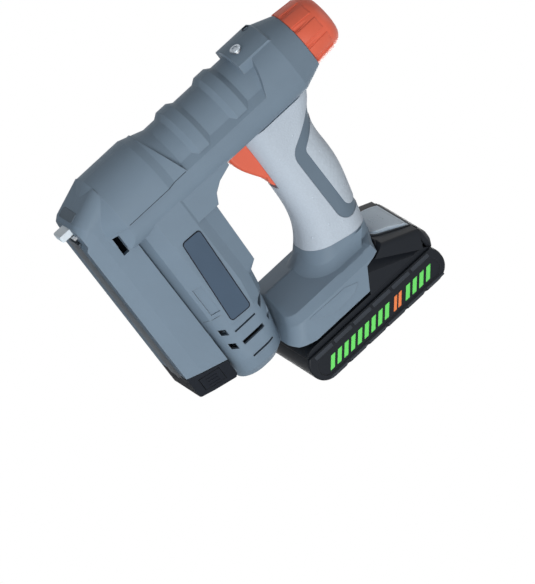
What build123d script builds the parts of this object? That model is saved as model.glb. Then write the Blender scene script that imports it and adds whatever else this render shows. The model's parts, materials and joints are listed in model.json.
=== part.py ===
"""Cordless stapler, built as separate pieces, in millimetres.

The origin is the middle of the nose tip's contact face. +Z runs up the barrel, against the
drive, +X runs from the barrel to the battery, and +Y is the right side of the tool. The
outside is symmetric about y = 0, where the two housing halves meet.
"""
import math
import os

from build123d import *

# Clearances
RUN = 0.3           # between pieces that move past each other
FIT = 0.05          # radial, on pins, rods and shafts
SEAT = 0.1          # between a fixed piece and its pocket

# Barrel
WALL = 2.4          # housing wall
BARREL_X = 10.5     # barrel axis, behind the nose tip
BARREL_R = 27.2
BARREL_BACK = 33.0  # flat back of the barrel
BARREL_CORNER = 13.0
BARREL_TOP = 199.0
SHOULDER = 6.0      # slope under the knob, across and down
SHOULDER_DROP = 10.0
BORE_R = 20.6       # inside of the barrel
WAIST_R = 23.4      # round front between the shoulder and the foot
WAIST_SIDE_X = 12.5  # where the waist's side wall reaches the full width
WAIST_SLOPE = 5.5   # length of that sloping wall
WAIST_LOW = 78.0
WAIST_HIGH = 157.0
WAIST_RISE = 10.0   # its lower edge rises and its upper edge falls by this towards the back
RIB_R = 26.0
RIB_HEIGHT = 16.0
RIB_SLOPE = 4.0
RIB_CENTRES = (139.0, 106.0)
PAD_R = 28.4        # raised pad on the front, under the shoulder
PAD_HALF = 17.0
PAD_HIGH = 184.0
FOOT_R = 29.2       # round front block over the nose
FOOT_SLOPE = 7.0
SKIRT_LOW = 21.0    # the foot slopes in to the magazine cover down to here

# Magazine cover and chin
SOLE_Z = 6.0        # underside of the magazine, over the nose tip's contact face
MAG_TOP = 35.0
MAG_HALF = 20.0
MAG_CREASE_Z = 16.7   # under it the sides lean in to the sole
MAG_LEAN = 1.2
MAG_END_TOP = 138.0
MAG_END_LOW = 129.0
CHIN_TOP_X = -16.6
CHIN_LOW_X = -4.2
CHIN_LIFT = 2.3     # the chin's underside lies this far over the sole
CHIN_BACK_X = 9.0
CHIN_ROUND = 10.0

# Motor column
DRIVE_Z = 58.5      # motor and gear axis
COLUMN_HALF = 26.0
COLUMN_LOW = 36.5
COLUMN_TOP = 92.0
COLUMN_FOOT = 12.0    # lower facet: how far it goes in, and the heights of its edges over the low side
COLUMN_KNEE = 5.0
COLUMN_KNEE_RISE = 4.5
COLUMN_CREASE_RISE = 14.5
COLUMN_BROW = 13.0    # upper facet, down from the top
DRUM_X = 113.0        # the round end over the motor starts here
POCKET_X = (82.0, 105.0)   # shallow pocket in the lower facet
POCKET_DEPTH = 1.1
CREST_BASE_HALF = 22.5
CREST_TOP_HALF = 18.0
CREST_DEPTH = 8.0
CREST_FALL = 3.0      # from the barrel to the step
CREST_END = 5.0
COLUMN_STEP_X = 98.0
COLUMN_STEP_Z = 85.0
COLUMN_TAIL_Z = 75.0
COLUMN_TAIL_HALF = 23.5
COLUMN_END = 161.0
COLUMN_ROUND = 15.0
GUSSET_HALF = 25.0
WEB_HALF = 12.0       # joins the column to the magazine cover
GUSSET_HIGH = 112.0

# Handle, as (x, lowest z, highest z, half width) along its length
HANDLE = (
    (30.0, 129.5, 187.0, 19.0),
    (44.0, 130.5, 182.0, 18.5),
    (57.0, 130.5, 176.0, 18.0),
    (77.0, 130.3, 175.0, 18.0),
    (97.0, 129.5, 173.5, 18.5),
    (114.0, 125.5, 169.5, 19.5),
    (126.0, 118.5, 166.5, 21.0),
    (141.0, 107.0, 163.0, 24.0),
)
HANDLE_ROUND = 0.86  # corner radius as a share of the half width
SKIN = 2.2           # soft grip skin over the handle core
RING_TOP = (134.5, 164.0)   # the skin's rear edge, seen from the side
RING_LOW = (124.5, 119.0)
STRIPE_DEPTH = 0.5   # the stripe lies this far under the skin
STRIPE_LEAN = 0.65   # its front limb leans to the barrel as it goes up
# The stripe's outer and inner edge, seen from the side: front corner, height, back, rounding of the corners
STRIPE_OUTER = (62.0, 149.4, 123.0, 12.0, 9.0)
STRIPE_INNER = (65.0, 158.3, 117.5, 6.0, 6.0)

# Battery shoe at the end of the handle
BASE_FRONT = 133.0   # edge of the prow
BASE_RIM_X = 141.0   # rim between the prow and the bevels of the side panels
BASE_RIM_HALF = 31.5
BASE_PANEL_X = 146.5
BASE_BACK = 163.4
BASE_HALF = 36.0
BASE_RIM_LOW = 80.0  # underside at the rim
BASE_LOW = 70.5      # underside at the battery
BASE_LOW_X = 157.0
BASE_CORNER = 11.0   # rounding of the lower corners
BASE_SIDE_TOP = 152.0
BASE_ROOF = 161.5    # top at the handle
BASE_ROOF_HALF = 10.0
BAY_WALL_X = 146.5   # wall that the battery's head slides along
BAY_FLOOR_Z = 81.0
NOTCH_TOP = (148.5, 141.0)
NOTCH_LOW_Z = 132.5
NOTCH_LEAN = 3.0     # the notch's upper edge leans forward by this
TOE_Z = 86.0         # the shoe's back edge starts here

# Battery
PACK_INNER_X = 166.4  # cell block, inner and outer faces
PACK_OUTER_X = 192.3
PACK_HALF = 37.0
PACK_LOW = 69.5
PACK_HIGH = 184.0
PACK_WALL = 2.2
PACK_SPLIT_X = 170.0
PACK_GROOVE = 2.5     # sunk band between the head's shoulder and the outer case
PANEL_X = (174.4, 188.6)   # sunk panel in each side of the case
PANEL_MARGIN = 4.5
PANEL_DEPTH = 0.8
SHOULDER_HALF = 35.5  # the head spreads to this over the shoe
SHOULDER_FLAT = 25.0
SHOULDER_RIM = (28.0, -1.5)    # outer edge of the rim round the button, across and down from its slope
SHOULDER_VALLEY = (30.4, -9.0)
SHOULDER_DROP = 16.0
HEAD_HALF = 30.0      # sliding head in the shoe
NECK_HALF = 26.5
NECK_X = 158.5
BUTTON_LOW = (144.6, 157.5)   # the release button's sloping face, seen from the side
BUTTON_HIGH = (155.6, 183.0)
BUTTON_LOW_HALF = 17.0
BUTTON_HIGH_HALF = 22.5
BUTTON_ROUND = 5.0     # lower corners
BUTTON_THICK = 4.0
BUTTON_TRAVEL = 4.0
CELL_R = 9.2
CELL_END_ROOM = 2.3   # between each end of a cell and the case, for the straps
CELL_LENGTH = 2 * (PACK_HALF - PACK_WALL - CELL_END_ROOM)
CELL_PITCH = 20.4
CELL_COUNT = 5
CELL_RIB_Y = 20.0     # ribs in the case that hold the cells
CELL_RIB = 2.0
STRAP_THICK = 0.3
STRAP_HALF = 4.0
STRAP_END = 5.0        # past the middle of the last cell
SCALLOPS = 6
SCALLOP_DEPTH = 1.2
SCALLOP_PITCH = 17.0
PACK_ROUND = 12.0
PACK_EDGE = 1.5
CATCH_X = 143.2       # tip of the battery's catch in the shoe's wall
CATCH_Z = (146.0, 149.5)
CATCH_HALF = 9.0
CATCH_DEPTH = 8.0
CATCH_ROOM_TOP = 161.5
BUTTON_PROUD = 0.8

# Power knob
KNOB_R = 21.1
KNOB_TOP_R = 19.6
KNOB_TOP = 225.5
KNOB_CROWN = 9.0
KNOB_FLUTES = 10
KNOB_FLUTE_DEPTH = 1.1

# Nose
TIP_LENGTH = 4.8      # along x
TIP_WIDTH = 10.0
TIP_HEIGHT = 9.0
TIP_TRAVEL = 5.5
ARM_THICK = 1.6       # steel arm that carries the tip
ARM_TOP = 36.0
ARM_HEAD = 3.0        # head under the nose spring
ARM_HEAD_FRONT = -2.6
NOSE_SPRING_R = 1.75
NOSE_SPRING_WIRE_R = 0.35
NOSE_SPRING_LENGTH = 10.0
DRIVER_X = 5.6
DRIVER_THICK = 1.4
DRIVER_WIDTH = 6.0
PLATE_THICK = 1.8     # steel plate in front of the driver
PLATE_TOP = 40.0
PLATE_HALF = 9.0

# Hammer and its spring
FLOOR_Z = 50.0        # floor of the barrel
HAMMER_LOW = 62.0
HAMMER_HEIGHT = 26.0
HAMMER_TRAVEL = 25.0
HAMMER_HALF = 10.0    # along x
ARM_LOW = 50.5        # arm from the hammer to its rack
ARM_HEIGHT = 10.0
RACK_THICK = 3.4
ROD_Y = 16.8          # two guide rods
ROD_R = 2.5
ROD_SINK = 4.0        # length of a rod's end in the housing
SPRING_R = 10.5       # middle of the main spring's wire
SPRING_WIRE_R = 1.6
SPRING_TURNS = 7
SEAT_Z = 170.0        # spring seat
SEAT_THICK = 5.0
SEAT_TRAVEL = 6.0
CEILING_Z = 186.0     # top of the barrel's bore
SCREW_R = 5.0         # adjusting screw under the knob

# Gears
LIFT_MODULE = 1.75
LIFT_TEETH = 12
LIFT_LEFT = 8         # teeth that are left on the lifting sector
LIFT_X = 33.0
LIFT_WIDTH = 8.0
GEAR_MODULE = 1.0
SUN_TEETH = 9
PLANET_TEETH = 12
RING_TEETH = SUN_TEETH + 2 * PLANET_TEETH
PLANETS = 3
PLANET_X = 62.0
PLANET_WIDTH = 8.0
PLANET_PIN_R = 1.5
CARRIER_R = 14.0
CARRIER_THICK = 3.0
RING_R = 19.4         # outside of the fixed ring gear
PRESSURE = 25.0       # pressure angle, degrees
ADDENDUM = 0.8        # stub teeth, in modules
DEDENDUM = 1.1
BACKLASH = 0.2        # thinning of each tooth at the pitch circle
OUTPUT_R = 4.0        # carrier shaft
BEARING_X = 44.0
BEARING_WIDTH = 5.0
BEARING_R = 9.5

# Motor
MOTOR_X = 76.0
MOTOR_LENGTH = 57.0
MOTOR_R = 17.9
MOTOR_WALL = 1.6
MAGNET_THICK = 4.0
ARMATURE_R = 10.5
MOTOR_CAP = 6.0       # end cap that holds the brushes
MOTOR_CAP_R = 15.6
SHAFT_R = 1.8
FAN_X = 143.0
FAN_WIDTH = 6.0
FAN_R = 8.5
FAN_BLADES = 9
CRADLE = 3.0          # ribs that hold the motor and the gears

# Trigger
TRIGGER_PIN = (74.0, 137.0)
TRIGGER_HALF = 7.5
TRIGGER_PIN_R = 1.5
TRIGGER_FRONT = 37.5
TRIGGER_LOW = 117.0
TRIGGER_ROUND = 2.5
PIN_BOSS = 4.0        # housing round the trigger pin's ends
PIN_SINK = 2.2        # length of each end in its boss
SWITCH_X = (52.0, 74.0)
SWITCH_HALF = 6.0
SWITCH_LOW = 148.0
SWITCH_HEIGHT = 15.0
SWITCH_LEDGE = 2.5
TRIGGER_SPRING_X = 60.0

# Magazine works
TRACK_HALF = 4.6      # outside of the fixed steel track
TRACK_WALL = 1.2
TRACK_TOP = 33.2
TRACK_FLANGE = 1.6    # flange that hangs the track in the cover
TRACK_FLANGE_Z = 11.0
CORE_HALF = 1.6       # rail that the staples ride on
CROWN_HALF = 3.0      # half of a staple's crown
STAPLE_WIRE = 1.0
STAPLE_TOP = 31.4
CORE_TOP = 22.0
PUSH_SPRING_Z = 27.5
STRIP_X = 6.9
TRACK_END = 127.0
LATCH_X = 135.0
LATCH_LENGTH = 9.0
LATCH_Z = (12.0, 27.0)
LATCH_THICK = 2.5
LEAF_LENGTH = 11.0    # leaf spring behind each latch
LEAF_WIDTH = 4.0
LEAF_THICK = 0.35
STRIP_LENGTH = 52.0
PUSHER_LENGTH = 14.0
SOLE_HALF = 9.0
SOLE_THICK = 1.6
END_BACK_TOP = 152.0
END_BACK_LOW = 146.0
LATCH_PRESS = 1.5
MAG_ROOMS = 4         # hollows in the cover, with ribs between them that hold the track
MAG_ROOM_X = 46.0
MAG_ROOM = 16.5
MAG_RIB = 3.0
WINDOW = ((15.0, 30.6), (23.4, 28.0))   # slot in the magazine's side, as x and z ranges

# Screws that hold the housing together, as (x, z), driven from the right side
SCREW_PLACES = (
    (-12.0, 66.0),
    (29.0, 172.0),
    (50.0, 84.5),
    (88.0, 143.0),
    (119.0, 143.0),
    (154.0, 46.0),
)
SCREW_SHANK_R = 1.5
SCREW_HEAD_R = 3.2
SCREW_HEAD = 2.6
SCREW_LENGTH = 18.0
SCREW_SEAT_Y = 10.0
BOSS_R = 4.4
FRONT_SCREW_Y = -7.0
FRONT_SCREW_Z = 164.0
FRONT_SEAT = 2.4

# Electrics
BLADE_Y = (-13.5, -4.5, 4.5, 13.5)
BLADE_THICK = 0.8
BLADE_REACH = 7.0
JAW_THICK = 0.6
BLADE_RISE = 3.0      # over the bay's floor
BLADE_HEIGHT = 13.0
TERMINAL_HALF = 18.0
TERMINAL_RISE = 6.0   # over the blades
BOARD_THICK = 1.6
BOARD_X = 157.0
BOARD_HEIGHT = 52.0

# Vents in the motor's end, as (x, width), and the starts of the slanted ones
VENTS = ((123.5, 1.4), (133.0, 3.2), (146.0, 1.6))
VENTS_HIGH = (116.0, 128.0)
VENTS_LOW = (117.0, 129.5)

FAR = 400.0           # reach of cutting blocks, past the whole tool

# Sizes that follow from the ones above
LIFT_PITCH_R = LIFT_MODULE * LIFT_TEETH / 2
RACK_ROOT_Y = LIFT_PITCH_R + DEDENDUM * LIFT_MODULE
RACK_BACK = RACK_ROOT_Y + RACK_THICK
RACK_OVERRUN = 2 * LIFT_MODULE
DRIVER_TOP = HAMMER_LOW + HAMMER_HEIGHT - 4
PLATE_BACK = DRIVER_X - DRIVER_THICK / 2 - RUN
TRACK_X = DRIVER_X + DRIVER_THICK / 2 + RUN
ARM_BACK = TIP_LENGTH / 2 - 0.2
ARM_HALF = 4.0
TERMINAL_X = BAY_WALL_X - WALL
CHAMBER_X = BASE_FRONT + (BASE_RIM_X - BASE_FRONT) / 2 + WALL
CHAMBER_LOW = BAY_FLOOR_Z + 2
BLADE_Z = (BAY_FLOOR_Z + BLADE_RISE, BAY_FLOOR_Z + BLADE_RISE + BLADE_HEIGHT)
TERMINAL_TOP = BLADE_Z[1] + TERMINAL_RISE
CHAMBER_TOP = CATCH_Z[0] - 3 - WALL
STAPLE_LOW = SOLE_Z + SOLE_THICK + SEAT
CELL_X = PACK_OUTER_X - PACK_WALL - SEAT - CELL_R
BUTTON_SLOPE = Vector(BUTTON_HIGH[0] - BUTTON_LOW[0], 0, BUTTON_HIGH[1] - BUTTON_LOW[1])
BUTTON_RISE = BUTTON_SLOPE.normalized()


def block(x, y, z):
    """Box from three (low, high) pairs."""
    size = [high - low for low, high in (x, y, z)]
    middle = [(high + low) / 2 for low, high in (x, y, z)]
    return Pos(*middle) * Box(*size)


def rod_x(x0, x1, y, z, radius):
    return Pos((x0 + x1) / 2, y, z) * Rot(0, 90, 0) * Cylinder(radius, x1 - x0)


def rod_y(x, y0, y1, z, radius):
    return Pos(x, (y0 + y1) / 2, z) * Rot(90, 0, 0) * Cylinder(radius, y1 - y0)


def rod_z(x, y, z0, z1, radius):
    return Pos(x, y, (z0 + z1) / 2) * Cylinder(radius, z1 - z0)


def side_prism(points, half):
    """Outline of (x, z) points, carried half to each side of the middle plane."""
    face = make_face(Polyline(*points, close=True))
    return extrude(Plane.XZ * face, half, both=True)


def cross_section(x, low, high, half, corner):
    """Rounded upright section across the tool at x."""
    return Plane.YZ.offset(x) * Pos(0, (low + high) / 2) * RectangleRounded(2 * half, high - low, corner)


def left_half(solid):
    return solid & block((-FAR, FAR), (-FAR, 0), (-FAR, FAR))


def right_half(solid):
    return solid & block((-FAR, FAR), (0, FAR), (-FAR, FAR))


# Barrel


def round_front(front_radius, half_width, back):
    """Plan with a round front about the barrel axis, straight sides and a flat back."""
    front = Circle(front_radius) - Pos(front_radius, 0) * Rectangle(2 * front_radius, 3 * front_radius)
    plan = Pos(BARREL_X, 0) * front
    plan += Pos((BARREL_X + back) / 2, 0) * Rectangle(back - BARREL_X, 2 * half_width)
    return fillet(plan.vertices().group_by(Axis.X)[-1], BARREL_CORNER)


def waist_plan(radius):
    """Plan at the waist: a smaller round front that slopes out to the full width."""
    slope_start = WAIST_SIDE_X - WAIST_SLOPE
    start_half = math.sqrt(radius ** 2 - (slope_start - BARREL_X) ** 2)
    outline = [
        (slope_start, start_half),
        (WAIST_SIDE_X, BARREL_R),
        (BARREL_BACK - BARREL_CORNER, BARREL_R),
        (BARREL_BACK - BARREL_CORNER, -BARREL_R),
        (WAIST_SIDE_X, -BARREL_R),
        (slope_start, -start_half),
    ]
    front = Circle(radius) - Pos(radius, 0) * Rectangle(2 * radius, 3 * radius)
    return Pos(BARREL_X, 0) * front + make_face(Polyline(*outline, close=True))


def barrel_rib(centre):
    """Half ring round the front of the waist, with sloping edges."""
    half = RIB_HEIGHT / 2
    inner = WAIST_R - WALL / 2
    profile = make_face(Polyline(
        (-inner, centre - half),
        (-WAIST_R, centre - half),
        (-RIB_R, centre - half + RIB_SLOPE),
        (-RIB_R, centre + half - RIB_SLOPE),
        (-WAIST_R, centre + half),
        (-inner, centre + half),
        close=True,
    ))
    ring = Pos(BARREL_X, 0, 0) * revolve(Plane.XZ * profile, Axis.Z, 360)
    return ring & block((-FAR, WAIST_SIDE_X - WAIST_SLOPE / 2), (-FAR, FAR), (-FAR, FAR))


def barrel_outer():
    tall = extrude(Pos(0, 0, MAG_TOP) * round_front(BARREL_R, BARREL_R, BARREL_BACK), BARREL_TOP - MAG_TOP)
    top = tall.faces().sort_by(Axis.Z)[-1]
    tall = chamfer(top.edges(), SHOULDER, SHOULDER_DROP, reference=top)
    pad_edge = BARREL_X - math.sqrt(BARREL_R ** 2 - PAD_HALF ** 2)
    recess = side_prism([
        (WAIST_SIDE_X, WAIST_HIGH),
        (pad_edge, WAIST_HIGH + WAIST_RISE),
        (pad_edge, WAIST_HIGH),
        (-FAR, WAIST_HIGH),
        (-FAR, WAIST_LOW),
        (-PAD_HALF, WAIST_LOW),
        (WAIST_SIDE_X, WAIST_LOW + WAIST_RISE),
    ], FAR)
    waist = extrude(Pos(0, 0, WAIST_LOW - WAIST_RISE) * waist_plan(WAIST_R),
                    WAIST_HIGH - WAIST_LOW + 2.5 * WAIST_RISE)
    pad = rod_z(BARREL_X, 0, WAIST_HIGH, PAD_HIGH, PAD_R)
    pad = chamfer(pad.edges().group_by(Axis.Z)[-1], PAD_R - BARREL_R)
    pad &= block((-FAR, BARREL_X), (-PAD_HALF, PAD_HALF), (-FAR, FAR))
    foot = rod_z(BARREL_X, 0, MAG_TOP, WAIST_LOW + WAIST_RISE, FOOT_R)
    foot = chamfer(foot.edges().group_by(Axis.Z)[-1], FOOT_SLOPE + WAIST_RISE, FOOT_R - WAIST_R)
    foot &= block((-FAR, WAIST_SIDE_X), (-FAR, FAR), (-FAR, FAR))
    barrel = tall - recess + waist + pad + foot + foot_skirt()
    for centre in RIB_CENTRES:
        barrel += barrel_rib(centre)
    return barrel


def foot_skirt():
    """Slope from the foot and the barrel's sides in to the magazine cover."""
    height = MAG_TOP - SKIRT_LOW
    back = BARREL_BACK - BARREL_CORNER
    front = Pos(BARREL_X, 0, MAG_TOP - height / 2) * Cone(MAG_HALF, FOOT_R, height)
    front &= block((-FAR, WAIST_SIDE_X), (-FAR, FAR), (-FAR, FAR))
    section = make_face(Polyline(
        (BARREL_R, MAG_TOP), (MAG_HALF, SKIRT_LOW), (-MAG_HALF, SKIRT_LOW), (-BARREL_R, MAG_TOP), close=True,
    ))
    sides = extrude(Plane.YZ.offset(BARREL_X) * section, back + height - BARREL_X)
    sides &= side_prism([
        (BARREL_X, MAG_TOP), (back + height, MAG_TOP), (back, SKIRT_LOW), (BARREL_X, SKIRT_LOW),
    ], FAR)
    sides &= extrude(round_front(BARREL_R, BARREL_R, BARREL_BACK), MAG_TOP)
    return front + sides


# Magazine cover


def magazine_outer():
    cover = side_prism([
        (CHIN_TOP_X, MAG_TOP),
        (CHIN_LOW_X - CHIN_LIFT, SOLE_Z + 2 * CHIN_LIFT),
        (CHIN_LOW_X, SOLE_Z + CHIN_LIFT),
        (CHIN_BACK_X, SOLE_Z + CHIN_LIFT),
        (CHIN_BACK_X + CHIN_LIFT, SOLE_Z),
        (MAG_END_LOW, SOLE_Z),
        (MAG_END_TOP, MAG_TOP),
    ], MAG_HALF)
    front = cover.edges().filter_by(lambda edge: edge.center().X < 0 and abs(edge.center().Y) > 1)
    front = front.filter_by(lambda edge: abs(edge.tangent_at(0.5).Z) > 0.5)
    return fillet(front, CHIN_ROUND) - magazine_lean()


def magazine_lean():
    """What the sides leave out under their crease."""
    wedges = []
    for side in (-1, 1):
        face = make_face(Polyline(
            (side * MAG_HALF, MAG_CREASE_Z),
            (side * (MAG_HALF - MAG_LEAN), SOLE_Z),
            (side * (MAG_HALF - MAG_LEAN), 0),
            (side * (MAG_HALF + 1), 0),
            (side * (MAG_HALF + 1), MAG_CREASE_Z),
            close=True,
        ))
        wedges.append(extrude(Plane.YZ * face, FAR / 2, both=True))
    return wedges[0] + wedges[1]


# Motor column


def column_section(x, high, half, inset):
    """Section of the column with flat sides, a taper under them and a slope over them."""
    low = COLUMN_LOW + inset
    side = half - inset
    right = [
        (side - COLUMN_FOOT, low),
        (side - COLUMN_KNEE, low + COLUMN_KNEE_RISE),
        (side, low + COLUMN_CREASE_RISE),
        (side, high - COLUMN_BROW),
        (side - COLUMN_KNEE, high - inset - COLUMN_KNEE_RISE),
        (side - COLUMN_FOOT, high - inset),
    ]
    left = [(-y, z) for y, z in reversed(right)]
    return Plane.YZ.offset(x) * make_face(Polyline(*right, *left, close=True))


def column_form(inset):
    """Column along x over the magazine with its round end, or the hollow when inset by the wall."""
    tail_x = COLUMN_END - COLUMN_ROUND
    motor_end = MOTOR_X + MOTOR_LENGTH - MOTOR_CAP
    motor_top = DRIVE_Z + MOTOR_R + WALL + RUN
    column = loft([
        column_section(BARREL_X + inset, COLUMN_STEP_Z, COLUMN_HALF, inset),
        column_section(COLUMN_STEP_X, COLUMN_STEP_Z, COLUMN_HALF, inset),
        column_section(DRUM_X + COLUMN_KNEE, COLUMN_STEP_Z - CREST_FALL, COLUMN_HALF - 0.5, inset),
    ], ruled=True)
    drum_stations = [
        (DRUM_X - COLUMN_KNEE, COLUMN_STEP_Z - CREST_FALL, COLUMN_HALF - 1),
        (motor_end, motor_top, COLUMN_HALF - 1.5),
        (tail_x, COLUMN_TAIL_Z, COLUMN_TAIL_HALF + 1),
        (COLUMN_END - COLUMN_ROUND / 3 - inset, COLUMN_TAIL_Z - 1.5, COLUMN_TAIL_HALF - 1),
        (COLUMN_END - inset, COLUMN_TAIL_Z - COLUMN_ROUND / 3, COLUMN_TAIL_HALF - COLUMN_ROUND / 3),
    ]
    drum = []
    for x, high, half in drum_stations:
        drum.append(cross_section(x, COLUMN_LOW + inset, high - inset, half - inset, COLUMN_ROUND - inset))
    crest = [
        crest_section(BARREL_X + inset, COLUMN_TOP - inset, inset),
        crest_section(COLUMN_STEP_X - inset, COLUMN_TOP - CREST_FALL - inset, inset),
        crest_section(COLUMN_STEP_X + CREST_END - inset, COLUMN_STEP_Z - CREST_FALL - inset, inset),
    ]
    return column + loft(drum, ruled=True) + loft(crest, ruled=True)


def column_pockets():
    """Shallow pocket along the lower facet, one on each side."""
    facet_low = Vector(COLUMN_HALF - COLUMN_KNEE, COLUMN_LOW + COLUMN_KNEE_RISE)
    facet_high = Vector(COLUMN_HALF, COLUMN_LOW + COLUMN_CREASE_RISE)
    along = facet_high - facet_low
    inward = Vector(-along.Y, along.X).normalized()
    low = facet_low + along * 0.25
    high = facet_low + along * 0.85
    corners = [low + inward * POCKET_DEPTH, high + inward * POCKET_DEPTH, high - inward * 4, low - inward * 4]
    pockets = []
    for side in (-1, 1):
        face = make_face(Polyline(*[(side * corner.X, corner.Y) for corner in corners], close=True))
        pockets.append(extrude(Plane.YZ.offset(POCKET_X[0]) * face, POCKET_X[1] - POCKET_X[0]))
    return pockets[0] + pockets[1]


def crest_section(x, high, inset):
    """Crest along the column's top, with sloping sides."""
    low = COLUMN_STEP_Z - CREST_DEPTH
    base = CREST_BASE_HALF - inset
    top = CREST_TOP_HALF - inset
    outline = Polyline((-base, low), (base, low), (top, high), (-top, high), close=True)
    return Plane.YZ.offset(x) * make_face(outline)


def gusset():
    """Web that runs from the back of the barrel down to the top of the column."""
    return side_prism([
        (BARREL_X, GUSSET_HIGH),
        (BARREL_BACK - 2, GUSSET_HIGH),
        (BARREL_BACK + 2, COLUMN_TOP + 9),
        (BARREL_BACK + 7, COLUMN_TOP + 2.5),
        (BARREL_BACK + 14, COLUMN_TOP - 1),
        (BARREL_BACK + 14, DRIVE_Z),
        (BARREL_X, DRIVE_Z),
    ], GUSSET_HALF)


# Handle


def handle_form(inset):
    sections = []
    for x, low, high, half in HANDLE:
        corner = HANDLE_ROUND * half - inset
        sections.append(cross_section(x, low + inset, high - inset, half - inset, corner))
    return loft(sections)


def skin_end():
    """Everything behind the skin's rear edge."""
    (top_x, top_z), (low_x, low_z) = RING_TOP, RING_LOW
    slope = (top_x - low_x) / (top_z - low_z)
    return side_prism([
        (top_x + slope * 60, top_z + 60),
        (low_x - slope * 60, low_z - 60),
        (FAR, low_z - 60),
        (FAR, top_z + 60),
    ], FAR)


def stripe_edge(front_x, low, back_x, front_round, back_round):
    """What lies over one edge of the stripe, seen from the side."""
    top = low + FAR / 4
    face = make_face(Polyline(
        (front_x - STRIPE_LEAN * (top - low), top), (front_x, low), (back_x, low), (back_x, top), close=True,
    ))
    front = face.vertices().group_by(Axis.Y)[0].sort_by(Axis.X)[0]
    face = fillet(front, front_round)
    back = face.vertices().group_by(Axis.Y)[0].sort_by(Axis.X)[-1]
    return fillet(back, back_round)


def palm_prism():
    """Everything over the stripe's inner edge: the ribbed palm patch."""
    return extrude(Plane.XZ * stripe_edge(*STRIPE_INNER), FAR, both=True)


def stripe_prism():
    """The hook-shaped stripe between its two edges."""
    return extrude(Plane.XZ * stripe_edge(*STRIPE_OUTER), FAR, both=True) - palm_prism()


# Battery shoe


def shoe_section(x, low, half, corner, side_top, roof, roof_half):
    """Section of the shoe: round lower corners and a roof that falls to both sides."""
    turn = corner * (1 - math.sqrt(0.5))
    outline = (
        Polyline((half, low + corner), (half, side_top), (roof_half, roof), (-roof_half, roof),
                 (-half, side_top), (-half, low + corner))
        + ThreePointArc((-half, low + corner), (-half + turn, low + turn), (-half + corner, low))
        + Line((-half + corner, low), (half - corner, low))
        + ThreePointArc((half - corner, low), (half - turn, low + turn), (half, low + corner))
    )
    return Plane.YZ.offset(x) * make_face(outline)


def base_outer():
    """Flared shoe: a prow, a bevel round the rim and side panels that are notched for the battery."""
    panel = (BASE_HALF, BASE_CORNER, BASE_SIDE_TOP, BASE_ROOF, BASE_ROOF_HALF)
    shoe = loft([
        shoe_section(BASE_FRONT, BASE_RIM_LOW + 3, 1, 0.8, BASE_SIDE_TOP - 12, BASE_ROOF - 3, 0.5),
        shoe_section(BASE_RIM_X, BASE_RIM_LOW, BASE_RIM_HALF, BASE_CORNER - 2, BASE_SIDE_TOP, BASE_ROOF,
                     BASE_ROOF_HALF),
        shoe_section(BASE_PANEL_X, BASE_RIM_LOW - 3, *panel),
        shoe_section(BASE_LOW_X, BASE_LOW, *panel),
        shoe_section(BASE_BACK, BASE_LOW, *panel),
    ], ruled=True)
    notch_x, notch_z = NOTCH_TOP
    head_x = BUTTON_LOW[0] - 4 * RUN
    fall = (NOTCH_TOP[1] - NOTCH_LOW_Z) / (BASE_BACK - notch_x)
    shoe -= side_prism([
        (head_x, FAR),
        (head_x, BASE_SIDE_TOP + NOTCH_LEAN),
        (notch_x - NOTCH_LEAN, BASE_SIDE_TOP),
        (notch_x, notch_z),
        (FAR, notch_z - fall * (FAR - notch_x)),
        (FAR, FAR),
    ], FAR)
    toe = side_prism([
        (BASE_LOW_X, BASE_LOW - FAR),
        (BASE_LOW_X, BASE_LOW),
        (BASE_LOW_X + 3, BASE_LOW + 3.5),
        (BASE_BACK, TOE_Z),
        (FAR, TOE_Z),
        (FAR, BASE_LOW - FAR),
    ], FAR)
    return shoe - toe


def bay_hollow():
    """Room for the battery's head and neck, open to the back and the top."""
    head = block((BAY_WALL_X, NECK_X + RUN), (-HEAD_HALF - RUN, HEAD_HALF + RUN), (BAY_FLOOR_Z, FAR))
    neck = block((BAY_WALL_X, FAR), (-NECK_HALF - RUN, NECK_HALF + RUN), (BAY_FLOOR_Z, FAR))
    return head + neck


def blade_slots(low, high, reach, gap):
    """Four upright slots for the blades that carry the current."""
    half = BLADE_THICK / 2 + gap
    slots = [block((TERMINAL_X, BAY_WALL_X + reach), (y - half, y + half), (low, high)) for y in BLADE_Y]
    return sum_parts(slots)


def latch_notch():
    """Room in the shoe's wall for the battery's catch."""
    return block((CATCH_X - 1, BAY_WALL_X + 1), (-CATCH_HALF - 1, CATCH_HALF + 1),
                 (CATCH_Z[0] - 3, FAR))


# Whole housing


def sum_parts(pieces):
    total = pieces[0]
    for piece in pieces[1:]:
        total += piece
    return total


def housing_outer():
    core = handle_form(SKIN)
    stripe = stripe_prism() & (handle_form(STRIPE_DEPTH) - core)
    tail = handle_form(0) & skin_end() & block((-FAR, BAY_WALL_X), (-FAR, FAR), (-FAR, FAR))
    web = block((BARREL_X, MAG_END_LOW - 4), (-WEB_HALF, WEB_HALF), (MAG_TOP - 1, COLUMN_LOW + WALL))
    return sum_parts([
        barrel_outer(), magazine_outer(), web, column_form(0), gusset(), core, stripe, tail, base_outer(),
    ])


def cradle(x, width, radius):
    """Rib across the column with a round seat on the drive axis."""
    slab = block((x, x + width), (-COLUMN_HALF, COLUMN_HALF), (COLUMN_LOW, COLUMN_TOP))
    return slab - rod_x(x - 1, x + width + 1, 0, DRIVE_Z, radius + SEAT)


def screw_boss(x, z):
    return rod_y(x, -FAR / 10, FAR / 10, z, BOSS_R)


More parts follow.
